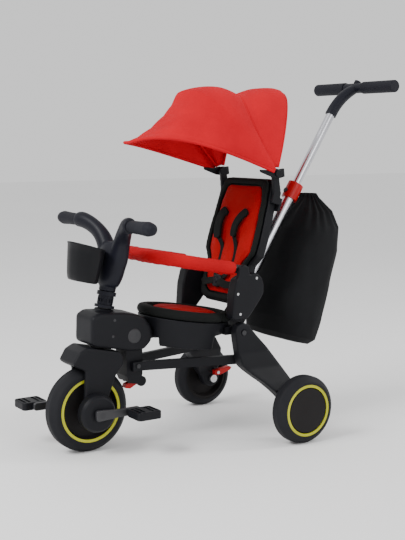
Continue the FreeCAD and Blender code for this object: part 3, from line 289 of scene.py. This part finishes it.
# %% Paint the CAD nodes
PAINT = {
    "black_plastic": (black_plastic, ["fold_bracket", "fold_latch", "brace_bars", "rear_cross_frame",
                                      "pedal_left", "pedal_right"]),
    "navy_plastic": (navy_plastic, ["column_sleeve", "push_handle", "collar_button", "handle_button"]),
    "tyre": (tyre_foam, ["front_tyre", "rear_tyre_left", "rear_tyre_right"]),
    "rims": (cap_plastic, ["front_rim", "rear_rim_left", "rear_rim_right"]),
    "rings": (ring_plastic, ["front_rings", "rear_ring_left", "rear_ring_right"]),
    "zinc": (zinc, ["housing_screws", "housing_pins", "rear_leg_pins"]),
    "blackened": (blackened, ["head_pins", "head_screws", "leg_hinge_rod", "front_axle"]),
    "powder": (powder_coat, ["steering_column", "crank_left", "crank_right", "guard_tube"]),
    "tubes": (polished_tube, ["push_tube_lower", "push_tube_upper"]),
    "red": (red_plastic, ["push_collar", "fold_release_lever", "brake_lever_left", "brake_lever_right"]),
}


def paint(thing, material):
    thing.data.materials.clear()
    thing.data.materials.append(material)


for finish_name, (material, names) in PAINT.items():
    for name in names:
        paint(nodes[name], material)
    print(finish_name, "on", len(names), "nodes")

# %% [markdown]
# ## Making a piece
# Every new piece goes through one door: its doubles are merged, its faces are turned
# outwards, it gets its finish, and it rides on the body that carries it.


# %% Helpers for pieces
def new_object(name, mesh, material):
    piece = bpy.data.objects.new(name, mesh)
    bpy.context.scene.collection.objects.link(piece)
    paint(piece, material)
    return piece


def piece_from(bm, name, material, solid=True):
    """Turn a bmesh into an object with smooth, outward faces."""
    bmesh.ops.remove_doubles(bm, verts=bm.verts, dist=1e-6)
    if solid:
        bmesh.ops.recalc_face_normals(bm, faces=bm.faces)
    for face in bm.faces:
        face.smooth = True
    mesh = bpy.data.meshes.new(name)
    bm.to_mesh(mesh)
    bm.free()
    return new_object(name, mesh, material)


def apply_modifiers(piece):
    """Put the result of the piece's modifiers into its mesh."""
    depsgraph = bpy.context.evaluated_depsgraph_get()
    mesh = bpy.data.meshes.new_from_object(piece.evaluated_get(depsgraph))
    for face in mesh.polygons:
        face.use_smooth = True
    piece.modifiers.clear()
    piece.data = mesh
    return piece


def thicken(piece, thickness, offset=-1.0, rounds=0):
    """Give a sheet its thickness, and soften it with subdivision."""
    wall = piece.modifiers.new("wall", "SOLIDIFY")
    wall.thickness = thickness
    wall.offset = offset
    if rounds:
        soft = piece.modifiers.new("soft", "SUBSURF")
        soft.levels = rounds
        soft.render_levels = rounds
    return apply_modifiers(piece)


def give(piece, body, slot, *replaced):
    """Let a piece ride on a body, in place of the CAD nodes named."""
    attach(piece, body)
    if replaced:
        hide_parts(*replaced)
    print("%-22s %6d faces on %s" % (piece.name, len(piece.data.polygons), body))
    return piece


def grid(across, along, place, loop=False):
    """A sheet whose points are put in place by a function of (u, v), 0 to 1."""
    bm = bmesh.new()
    bmesh.ops.create_grid(bm, x_segments=across, y_segments=along, size=0.5)
    for vertex in bm.verts:
        vertex.co = place(vertex.co.x + 0.5, vertex.co.y + 0.5)
    if loop:
        bmesh.ops.remove_doubles(bm, verts=bm.verts, dist=1e-5)
    return bm


def smooth_step(value):
    value = min(1.0, max(0.0, value))
    return value * value * (3.0 - 2.0 * value)


def between(table, t):
    """A smooth value along rows of (t, a, b, ...), t rising."""
    for first, second in zip(table, table[1:]):
        if t <= second[0]:
            share = smooth_step((t - first[0]) / (second[0] - first[0])) * 0.5
            share += 0.5 * (t - first[0]) / (second[0] - first[0])
            return [a + (b - a) * share for a, b in zip(first[1:], second[1:])]
    return list(table[-1][1:])


# %% [markdown]
# ## Soft-edged mouldings
# An injection-moulded part has no sharp edge and no visible joint between its arms
# and its body. A copy of each CAD shell is merged, rebuilt on a fine voxel grid and
# relaxed, which rounds every edge by about the same amount as the mould would.
# Relaxing draws outer edges in but fills inner corners a little, so the handle with
# its button pocket and the pedals, which pass close to the bars, keep the CAD mesh.


# %% Mouldings
def moulded(node, material, body, slot, voxel=1.6, rounds=6):
    bm = bmesh.new()
    bm.from_mesh(nodes[node].data)
    bmesh.ops.remove_doubles(bm, verts=bm.verts, dist=1e-5)
    piece = piece_from(bm, "moulded_" + node, material)
    remesh = piece.modifiers.new("voxels", "REMESH")
    remesh.mode = "VOXEL"
    remesh.voxel_size = voxel * MM
    relax = piece.modifiers.new("relax", "SMOOTH")
    relax.factor = 0.5
    relax.iterations = rounds
    apply_modifiers(piece)
    return give(piece, body, slot, node)


MOULDINGS = [
    ("handlebar", navy_plastic, "steering", 1.5, 26),
    ("grips", grip_rubber, "steering", 1.3, 8),
    ("fork", black_plastic, "steering", 1.5, 30),
    ("hub_covers", black_plastic, "steering", 1.5, 4),
    ("head_housing", black_plastic, "head", 1.8, 60),
    ("rear_leg_left", black_plastic, "legs", 1.8, 34),
    ("rear_leg_right", black_plastic, "legs", 1.8, 34),
    ("side_housing_left", black_plastic, "chassis", 1.5, 14),
    ("side_housing_right", black_plastic, "chassis", 1.5, 14),
    ("seat_base", black_plastic, "chassis", 1.8, 8),
    ("handle_grips", grip_rubber, "push_bar", 1.3, 6),
    ("canopy_posts", black_plastic, "backrest", 1.2, 6),
]
for node, material, body, voxel, rounds in MOULDINGS:
    slot = next(part["material_slot"] for part in frame["record"]["subparts"] if part["node"] == node)
    moulded(node, material, body, slot, voxel, rounds)

# %% [markdown]
# ## The cup
# The cup is a thin moulded tub with a soft base edge, faint flat facets down its
# sides and a narrow raised lip. A ring is extruded upwards, row by row, and each row
# is pulled onto an oval; the wall is added last.

# %% Cup: (height, half width, half depth, middle)
CUP_ROWS = [
    (285.0, 30.0, 18.0, -66.0), (284.4, 39.0, 26.5, -66.0), (285.6, 43.5, 30.0, -66.2),
    (289.5, 45.4, 31.8, -66.6), (300.0, 47.2, 33.6, -67.6), (320.0, 49.2, 35.8, -68.8),
    (345.0, 51.2, 38.4, -70.2), (361.0, 52.4, 40.0, -71.0), (362.0, 53.6, 40.8, -71.1),
    (365.5, 53.8, 41.0, -71.3),
]
CUP_TIP = math.radians(5.4)


def cup_spot(turn, row):
    """A point of the cup: the upper rows rise towards the front."""
    height, half_width, half_depth, middle = row
    facet = 1.0 - 0.012 * (0.5 + 0.5 * math.cos(10.0 * turn))
    x = half_width * facet * math.cos(turn)
    y = half_depth * facet * math.sin(turn)
    rise = -y * math.tan(CUP_TIP) * (height - 284.0) / 82.0
    return STEERING @ Vector((x, middle + y, height + rise))


bm = bmesh.new()
ring = bmesh.ops.create_circle(bm, segments=80, radius=1.0, cap_ends=True)["verts"]
turns = [math.atan2(vertex.co.y, vertex.co.x) for vertex in ring]
for vertex, turn in zip(ring, turns):
    vertex.co = cup_spot(turn, CUP_ROWS[0])
edges = [edge for edge in bm.edges]
for row in CUP_ROWS[1:]:
    made = bmesh.ops.extrude_edge_only(bm, edges=edges)["geom"]
    edges = [item for item in made if isinstance(item, bmesh.types.BMEdge)]
    ring = [item for item in made if isinstance(item, bmesh.types.BMVert)]
    for vertex, turn in zip(ring, turns):
        vertex.co = cup_spot(turn, row)
cup = piece_from(bm, "cup", cup_plastic)
thicken(cup, 2.4 * MM, offset=-1.0)
give(cup, "steering", "basket_plastic", "cup_basket")

# %% [markdown]
# The sleeve under the handlebar has upright flutes between its two rings. One thin
# bar is made, bevelled, and then copied round the column with spin.

# %% Flutes on the column sleeve
FLUTES = 14
bm = bmesh.new()
bmesh.ops.create_cube(bm, size=1.0)
bmesh.ops.scale(bm, verts=bm.verts, vec=(2.4, 2.6, 19.0))
bmesh.ops.bevel(
    bm, geom=bm.edges[:], offset=0.8, segments=2, profile=0.5, affect="EDGES", material=-1,
    clamp_overlap=True)
bmesh.ops.translate(bm, verts=bm.verts, vec=(0.0, 17.0, 251.0))
bmesh.ops.spin(
    bm, geom=bm.verts[:] + bm.edges[:] + bm.faces[:], cent=(0, 0, 0), axis=(0, 0, 1),
    angle=math.tau * (FLUTES - 1) / FLUTES, steps=FLUTES - 1, use_duplicate=True)
bmesh.ops.transform(bm, matrix=STEERING, verts=bm.verts)
flutes = piece_from(bm, "sleeve_flutes", navy_plastic)
give(flutes, "steering", "black_plastic")

# %% [markdown]
# ## Canopy
# The canopy is one skin stretched over hoops that fan out from a hinge on each side.
# Each hoop is a superellipse, rounder than a rectangle and squarer than an ellipse.
# The brim flares out like a cap's, so the profile is hollow between the brim and the
# first bow. The skin is a grid whose rows are blended between the hoops.

# %% The hoops: (row, reach, half width, power, degrees from the rear, swing)
BRIM_TO_SEAM = [
    (0.00, 338.0, 124.5, 2.45, 167.5, -5.5), (0.10, 306.0, 126.5, 2.5, 163.6, -5.4),
    (0.22, 277.0, 127.5, 2.6, 157.0, -4.2), (0.36, 258.0, 128.0, 2.65, 147.5, -2.5),
    (0.48, 255.0, 128.0, 2.65, 139.5, -1.0), (0.56, 264.5, 127.0, 2.6, 133.0, 0.0),
    (0.68, 246.5, 125.5, 2.5, 124.5, 2.0), (0.84, 224.0, 122.5, 2.4, 114.5, 8.0),
    (1.00, 192.5, 118.5, 2.4, 103.0, 17.0),
]
SEAM_TO_BACK = [
    (0.00, 192.5, 118.5, 2.4, 103.0, 17.0), (0.12, 190.0, 118.0, 2.4, 97.0, 16.0),
    (0.45, 203.5, 118.0, 2.4, 84.0, 12.5), (0.80, 213.0, 117.5, 2.4, 73.0, 8.5),
    (0.92, 214.5, 117.5, 2.4, 69.0, 8.0), (1.00, 210.0, 116.0, 2.4, 66.5, 8.0),
]
ROOT = 15.0


def on_hoop(u, hoop, inset=0.0):
    """A point of a hoop: u runs 0 to 1 from the far hinge to the near one."""
    reach, half_width, power, degrees, swing = hoop
    turn = math.pi * (1.0 - u)
    across = math.copysign(abs(math.cos(turn)) ** (2.0 / power), math.cos(turn))
    rise = ROOT + (reach - inset - ROOT) * abs(math.sin(turn)) ** (2.0 / power)
    droop = -2.2 * across * smooth_step((degrees - 120.0) / 47.0)
    angle = math.radians(degrees + droop + swing * abs(across) ** 1.6)
    x = (half_width - inset) * across
    return CANOPY @ Vector((x, rise * math.cos(angle), rise * math.sin(angle)))


def canopy_sheet(name, table, rows):
    def place(u, v):
        spot = on_hoop(u, between(table, v))
        pull = noise.noise(spot * 14.0) * 1.2 + noise.noise(spot * 34.0) * 0.35
        away = (spot - CANOPY.translation).normalized()
        return spot + away * pull * MM * math.sin(math.pi * u) ** 0.5
    bm = grid(96, rows, place)
    bmesh.ops.smooth_vert(bm, verts=[v for v in bm.verts if not v.is_boundary], factor=0.5,
                          use_axis_x=True, use_axis_y=True, use_axis_z=True)
    return piece_from(bm, name, canopy_cloth, solid=False)


# %% Canopy skins
hood = canopy_sheet("canopy_hood_cloth", BRIM_TO_SEAM, 64)
tail = canopy_sheet("canopy_tail_cloth", SEAM_TO_BACK, 34)
print("canopy rows:", 64 + 34)


# %% [markdown]
# A hem is the cloth's edge turned over a cord. It is a tube that follows the same
# hoop, so it always meets the skin. The same function makes the piping of the seam
# and the bows, which run in sleeves of the same cloth under the skin.


# %% Hems and piping
def tube_along(name, spots, radius, material):
    """A closed tube along a list of points."""
    curve = bpy.data.curves.new(name, "CURVE")
    curve.dimensions = "3D"
    spline = curve.splines.new("NURBS")
    spline.points.add(len(spots) - 1)
    for point, spot in zip(spline.points, spots):
        point.co = (*spot, 1.0)
    spline.order_u = 3
    spline.use_endpoint_u = True
    curve.bevel_depth = radius
    curve.bevel_resolution = 2
    curve.resolution_u = 3
    curve.use_fill_caps = True
    holder = bpy.data.objects.new(name + "_curve", curve)
    bpy.context.scene.collection.objects.link(holder)
    depsgraph = bpy.context.evaluated_depsgraph_get()
    mesh = bpy.data.meshes.new_from_object(holder.evaluated_get(depsgraph))
    bpy.data.objects.remove(holder)
    for face in mesh.polygons:
        face.use_smooth = True
    return new_object(name, mesh, material)


def hoop_spots(hoop, count=60, inset=0.0):
    return [on_hoop(step / count, hoop, inset) for step in range(count + 1)]


for sheet in (hood, tail):
    thicken(sheet, 1.8 * MM, offset=-1.0)
brim_hem = tube_along("brim_hem", hoop_spots(BRIM_TO_SEAM[0][1:]), 3.8 * MM, canopy_cloth)
back_hem = tube_along("back_hem", hoop_spots(SEAM_TO_BACK[-1][1:]), 2.2 * MM, canopy_cloth)
seam_piping = tube_along("seam_piping", hoop_spots(BRIM_TO_SEAM[-1][1:], inset=-0.2), 1.7 * MM, canopy_cloth)
ridge_bow = tube_along("ridge_bow", hoop_spots(BRIM_TO_SEAM[5][1:], inset=5.0), 3.0 * MM, canopy_cloth)
back_bow = tube_along("back_bow", hoop_spots(SEAM_TO_BACK[4][1:], inset=5.0), 3.0 * MM, canopy_cloth)
give(hood, "canopy_hood", "canopy_fabric", "canopy_front")
give(brim_hem, "canopy_hood", "canopy_fabric")
give(seam_piping, "canopy_hood", "canopy_fabric")
give(ridge_bow, "canopy_hood", "canopy_fabric")
give(back_hem, "backrest", "canopy_fabric")
give(back_bow, "backrest", "canopy_fabric")
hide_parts("canopy_rear")
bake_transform(tail)

# %% [markdown]
# Each side of the hood hangs on a plastic hinge: a flat arm runs forward under the
# brim, and a stub points back past the post, with a bright rivet through both.


# %% Canopy hinges
def arm_plate(bm, side, corners, low_x, high_x, soft=1.6):
    """A flat plate in the side view, with eased edges."""
    fresh = bmesh.new()
    ring = [fresh.verts.new((side * low_x, y, z)) for y, z in corners]
    face = fresh.faces.new(ring)
    made = bmesh.ops.extrude_face_region(fresh, geom=[face])["geom"]
    lifted = [item for item in made if isinstance(item, bmesh.types.BMVert)]
    bmesh.ops.translate(fresh, verts=lifted, vec=(side * (high_x - low_x), 0, 0))
    bmesh.ops.recalc_face_normals(fresh, faces=fresh.faces)
    bmesh.ops.bevel(
        fresh, geom=fresh.edges[:], offset=soft, segments=3, profile=0.5, affect="EDGES", material=-1,
        clamp_overlap=True)
    mesh = bpy.data.meshes.new("scratch")
    fresh.to_mesh(mesh)
    fresh.free()
    bm.from_mesh(mesh)
    bpy.data.meshes.remove(mesh)


HINGE_ARM = [(-52, 10), (-50, 4), (-14, -9), (4, -11), (11, -4), (9, 8), (-4, 12), (-18, 8)]
HINGE_STUB = [(4, -12), (22, -8), (20, 12), (6, 10)]
bm = bmesh.new()
for side in (-1, 1):
    arm_plate(bm, side, HINGE_ARM, 117, 122)
    arm_plate(bm, side, HINGE_STUB, 112, 120)
bmesh.ops.transform(bm, matrix=CANOPY, verts=bm.verts)
hinges = piece_from(bm, "canopy_hinges", black_plastic)
give(hinges, "canopy_hood", "black_plastic")

bm = bmesh.new()
for side in (-1, 1):
    turn = Matrix.Translation((side * 123.6, 0, 0)) @ Matrix.Rotation(math.pi / 2, 4, "Y")
    bmesh.ops.create_cone(
        bm, cap_ends=True, segments=28, radius1=4.0, radius2=3.2, depth=3.2, matrix=turn)
bmesh.ops.transform(bm, matrix=CANOPY, verts=bm.verts)
rivets = piece_from(bm, "canopy_rivets", zinc)
give(rivets, "canopy_hood", "steel")

# %% [markdown]
# ## Padding
# A pad is a shell of cloth blown out by its foam. The CAD solid gives the form it is
# cut to. A copy is rebuilt on a voxel grid, Blender's cloth is run on it with a
# little air pressure and no gravity, and then no point may have moved further than
# a cap, so the pad cannot swell into its neighbours. Channels and seams are pressed
# in afterwards, because a voxel grid would erase them.


# %% Padding by cloth simulation
def puffed(name, node, material, voxel, cap, pressure=3.0, frames=16, inset=1.2):
    bm = bmesh.new()
    bm.from_mesh(nodes[node].data)
    bmesh.ops.remove_doubles(bm, verts=bm.verts, dist=1e-5)
    piece = piece_from(bm, name, material)
    remesh = piece.modifiers.new("voxels", "REMESH")
    remesh.mode = "VOXEL"
    remesh.voxel_size = voxel * MM
    relax = piece.modifiers.new("relax", "SMOOTH")
    relax.iterations = 4
    apply_modifiers(piece)
    for vertex, normal in zip(piece.data.vertices, [v.normal.copy() for v in piece.data.vertices]):
        vertex.co -= normal * inset * MM
    start = [vertex.co.copy() for vertex in piece.data.vertices]
    sim = piece.modifiers.new("cloth", "CLOTH")
    sim.settings.use_pressure = True
    sim.settings.uniform_pressure_force = pressure
    sim.settings.effector_weights.gravity = 0.0
    sim.settings.tension_stiffness = 18.0
    sim.settings.quality = 5
    sim.point_cache.frame_start = 1
    sim.point_cache.frame_end = frames
    for moment in range(1, frames + 1):
        bpy.context.scene.frame_set(moment)
    apply_modifiers(piece)
    for vertex, before in zip(piece.data.vertices, start):
        moved = vertex.co - before
        if moved.length > cap * MM:
            vertex.co = before + moved.normalized() * cap * MM
    bpy.context.scene.frame_set(1)
    soft = piece.modifiers.new("soft", "SUBSURF")
    soft.levels = 1
    soft.render_levels = 1
    return apply_modifiers(piece)


def shape_points(piece, place, change):
    """Move points by a rule given in one of the small frames."""
    back = place.inverted()
    for vertex in piece.data.vertices:
        vertex.co = place @ change(back @ vertex.co)
    piece.data.update()


# %% [markdown]
# The seat is an oval cushion: a thick rolled border of black cloth round a red panel
# that is crowned in its middle and drawn down at its edge by the seam.

# %% Seat
seat_rim = puffed("seat_border", "seat_rim", border_cloth, 4.5, 2.2, pressure=2.0)
seat_pad = puffed("seat_cushion", "seat_pad", pad_cloth, 4.5, 2.5, pressure=2.0)


def press_seat(spot):
    """Crown the red panel and draw its edge down under the border."""
    reach = math.hypot(spot.x / 91.0, spot.y / 83.0)
    if spot.z > -2.0:
        spot.z += 4.0 * (1.0 - reach ** 2) - 3.5 * smooth_step((reach - 0.82) / 0.16)
        spot.z += 0.8 * noise.noise(Vector((spot.x, spot.y, 3.0)) * 0.035)
    return spot


shape_points(seat_pad, SEAT, press_seat)
give(seat_rim, "chassis", "black_fabric", "seat_rim")
give(seat_pad, "chassis", "red_fabric", "seat_pad")
seat_piping = tube_along("seat_piping", [
    SEAT @ Vector((91.0 * math.cos(t), 83.0 * math.sin(t), 4.6))
    for t in [math.tau * step / 72 for step in range(73)]
], 1.5 * MM, border_cloth)
give(seat_piping, "chassis", "black_fabric")

# %% [markdown]
# The backrest is a tall shield: red padding inside a black border, on a hard shell.
# Its padding is sewn into upright channels below the shoulder pads, with dark gaps
# where the harness webbing sinks in.

# %% Backrest
moulded("backrest_shell", black_plastic, "backrest", "black_plastic", 1.8, 10)
back_rim = puffed("back_border", "backrest_rim", border_cloth, 4.5, 2.0, pressure=2.0)
back_pad = puffed("back_cushion", "backrest_pad", pad_cloth, 3.2, 3.0, pressure=2.0)
CHANNELS = [-29.0, 29.0]


def press_back(spot):
    """Sew the channels in and crown the panel between its edges."""
    if spot.y < -18.0:
        sewn = smooth_step((spot.z + 6.0) / 22.0) * (1.0 - smooth_step((spot.z - 104.0) / 26.0))
        groove = sum(math.exp(-((spot.x - line) / 5.5) ** 2) for line in CHANNELS)
        belly = sum(math.exp(-((spot.x - line) / 14.0) ** 2) for line in (-55.0, 0.0, 55.0))
        edge = 1.0 - smooth_step((abs(spot.x) - 60.0) / 22.0)
        spot.y += sewn * (6.0 * groove - 2.8 * belly) - 2.0 * edge * (1.0 - sewn)
        spot.y += 0.8 * noise.noise(Vector((spot.x, spot.z, 1.0)) * 0.04)
    return spot


shape_points(back_pad, BACK, press_back)
give(back_rim, "backrest", "black_fabric", "backrest_rim")
give(back_pad, "backrest", "red_fabric", "backrest_pad")

# %% [markdown]
# ## Guard bar
# A padded sleeve is slipped over the guard's tube. It creases across its length
# where the tube bends, which a ripple in the simulated sleeve gives.

# %% Guard sleeve
guard = puffed("guard_padding", "guard_sleeve", guard_cloth, 3.4, 2.0, pressure=1.6)


def crease(spot):
    """Shallow creases across the sleeve, deepest at its front corners."""
    bend = smooth_step((250.0 - spot.y) / 90.0)
    wave = noise.noise(Vector((spot.x * 0.045, spot.y * 0.045, spot.z * 0.02)))
    fine = noise.noise(Vector((spot.x * 0.13, spot.y * 0.13, spot.z * 0.05)))
    spot.z += (0.9 * wave + 0.7 * fine) * (0.5 + bend)
    spot.x += 0.6 * fine * bend
    return spot


shape_points(guard, CHASSIS, crease)
give(guard, "guard", "red_fabric", "guard_sleeve")


# %% [markdown]
# ## Harness
# Webbing is flat and keeps its width, so it is modelled directly: a strip follows a
# short list of points and is given a thickness. Each shoulder pad is a wider, thicker
# strip with rounded ends.


# %% Straps
def strap(name, spots, facing, width, thickness, place, material, round_ends=False):
    """A flat strip along points in millimetres, its face towards facing."""
    spine = [Vector(spot) for spot in spots]
    count = len(spine) - 1

    def along(t):
        step = min(count - 1, int(t * count))
        share = t * count - step
        before = spine[max(0, step - 1)]
        after = spine[min(count, step + 2)]
        a, b = spine[step], spine[step + 1]
        return 0.5 * (2 * a + (b - before) * share + (2 * before - 5 * a + 4 * b - after) * share ** 2
                      + (3 * a - before - 3 * b + after) * share ** 3)

    def spot(u, v):
        here = along(v)
        heading = (along(min(1.0, v + 0.01)) - along(max(0.0, v - 0.01))).normalized()
        across = heading.cross(Vector(facing)).normalized()
        half = width / 2.0
        if round_ends:
            edge = min(v, 1.0 - v) * 2.0
            half *= math.sqrt(max(0.0, 1.0 - (1.0 - min(1.0, edge * 3.0)) ** 2)) * 0.55 + 0.45
        return place @ (here + across * (u - 0.5) * 2.0 * half)

    bm = grid(8, 14 * count, spot)
    piece = piece_from(bm, name, material, solid=False)
    return thicken(piece, thickness * MM, offset=0.0, rounds=1)


harness_parts = []
PADS = {
    "left": [(47, -30, 178), (33, -36, 160), (21, -37, 138), (17, -33, 110)],
    "right": [(-38, -30, 176), (-48, -36, 160), (-50, -37, 132), (-47, -33, 102)],
}
for side, label, pad_width in ((1, "left", 22.0), (-1, "right", 28.0)):
    pad_end = PADS[label][-1]
    harness_parts.append(strap(
        "shoulder_pad_" + label, PADS[label], (0, -1, 0), pad_width, 7.0, BACK, border_cloth, True))
    harness_parts.append(strap(
        "shoulder_web_" + label,
        [(pad_end[0], -32, pad_end[2] + 6), (side * 29, -25, 84), (side * 29, -23, 50), (side * 24, -29, 20),
         (side * 9, -36, 2)],
        (0, -1, 0), 13.0, 1.6, BACK, webbing))
    harness_parts.append(strap(
        "hip_web_" + label,
        [(side * 70, -29, 2), (side * 50, -36, -8), (side * 28, -40, -6), (side * 10, -38, -2)],
        (0, -1, 0.2), 19.0, 1.6, BACK, webbing))
for part in harness_parts:
    give(part, "backrest", "webbing")
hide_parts("harness")

# %% [markdown]
# The buckle is a rounded shield with a round push button in its middle.

# %% Buckle
bm = bmesh.new()
bmesh.ops.create_uvsphere(bm, u_segments=40, v_segments=20, radius=1.0)
for vertex in bm.verts:
    x, y, z = vertex.co
    power = 0.62
    vertex.co = BACK @ Vector((
        math.copysign(abs(x) ** power, x) * 17.0, -34.0 + math.copysign(abs(y) ** power, y) * 5.6,
        -2.0 + math.copysign(abs(z) ** power, z) * 15.5))
press = BACK @ Matrix.Translation((0, -39.6, -2.0)) @ Matrix.Rotation(math.pi / 2, 4, "X")
bmesh.ops.create_cone(bm, cap_ends=True, segments=36, radius1=8.0, radius2=7.0, depth=1.6, matrix=press)
buckle = piece_from(bm, "buckle", black_plastic)
give(buckle, "backrest", "black_plastic", "harness_buckle")

# %% [markdown]
# ## Storage bag
# The bag is a sack of thin cloth that hangs behind the push bar. It is narrow and
# pleated at the neck, full in the middle, and sags at its base. Its skin is a grid
# wrapped into a tube, drawn together at the base and open at the neck. The cord that
# gathers the neck is left out.

# %% Bag: (row, height, y, half width, half depth)
BAG_ROWS = [
    (0.00, 207.0, 552.0, 3.0, 2.0), (0.05, 204.0, 550.0, 52.0, 36.0), (0.10, 206.5, 550.0, 84.0, 58.0),
    (0.16, 220.0, 552.0, 103.0, 72.0), (0.30, 266.0, 560.0, 113.0, 79.0), (0.46, 345.0, 579.0, 117.5, 82.5),
    (0.62, 430.0, 607.0, 114.5, 80.5), (0.74, 487.0, 627.0, 104.0, 70.0), (0.84, 527.0, 637.0, 76.0, 49.0),
    (0.91, 548.0, 640.0, 47.0, 30.0), (0.95, 560.0, 640.0, 33.0, 19.5), (1.00, 571.0, 637.5, 27.0, 16.0),
]


def bag_spot(u, v):
    height, middle, half_width, half_depth = between(BAG_ROWS, v)
    turn = math.tau * u
    pleats = smooth_step((v - 0.66) / 0.3)
    ripple = math.cos(17.0 * turn + 1.3 * math.sin(3.0 * turn)) * 0.5 + 0.5
    squeeze = 1.0 - 0.16 * pleats * ripple
    fold = noise.noise(Vector((math.cos(turn) * 1.6, math.sin(turn) * 1.6, v * 3.4)))
    crease = noise.noise(Vector((math.cos(turn) * 4.0, math.sin(turn) * 4.0, v * 9.0)))
    full = math.sin(math.pi * min(1.0, v * 1.15)) if v < 0.86 else 0.35
    bulge = 1.0 + full * (0.030 * fold + 0.018 * crease) - 0.018
    x = half_width * squeeze * bulge * math.copysign(abs(math.cos(turn)) ** 0.86, math.cos(turn))
    y = half_depth * squeeze * bulge * math.copysign(abs(math.sin(turn)) ** 0.86, math.sin(turn))
    sag = 0.3 * y * (1.0 - smooth_step((v - 0.1) / 0.4))
    return CHASSIS @ Vector((x, middle + y, height - sag + 1.5 * fold * full))


bag = piece_from(grid(160, 120, bag_spot, loop=True), "bag_cloth", bag_cloth, solid=False)
bm = bmesh.new()
bm.from_mesh(bag.data)
bmesh.ops.remove_doubles(bm, verts=bm.verts, dist=2e-5)
bmesh.ops.recalc_face_normals(bm, faces=bm.faces)
bm.to_mesh(bag.data)
bm.free()
thicken(bag, 1.4 * MM, offset=-1.0)
give(bag, "chassis", "bag_fabric", "storage_bag")

# %% [markdown]
# ## Floor and light
# A pale floor and a pale world give the even backdrop of a catalogue. A large light
# in front and above models the hood, a second one fills the near side, and a strip
# behind draws the bright line along the push bar.

# %% Floor
bm = bmesh.new()
bmesh.ops.create_grid(bm, x_segments=1, y_segments=1, size=14.0)
floor_finish = Finish("floor", 0.9)
floor_finish.tint(floor_finish.noise(0.4), (0.90, 0.90, 0.90), (0.92, 0.92, 0.92))
floor = piece_from(bm, "floor", floor_finish.material, solid=False)

# %% Lights
world = bpy.data.worlds.new("studio")
world.use_nodes = True
world.node_tree.nodes["Background"].inputs["Color"].default_value = (1.0, 1.0, 1.0, 1.0)
world.node_tree.nodes["Background"].inputs["Strength"].default_value = 0.95
bpy.context.scene.world = world
target = CHASSIS @ Vector((0, 250, 450))


def soft_light(name, place, size, power):
    lamp = bpy.data.lights.new(name, "AREA")
    lamp.shape = "RECTANGLE"
    lamp.size = size[0]
    lamp.size_y = size[1]
    lamp.energy = power
    holder = bpy.data.objects.new(name, lamp)
    bpy.context.scene.collection.objects.link(holder)
    holder.location = Vector(place)
    holder.rotation_euler = (target - Vector(place)).to_track_quat("-Z", "Y").to_euler()


soft_light("key", (0.2, -2.6, 2.6), (1.4, 1.1), 90.0)
soft_light("fill", (2.8, 0.2, 1.4), (1.4, 1.4), 16.0)
soft_light("back_strip", (1.2, 2.4, 1.9), (0.3, 1.6), 30.0)
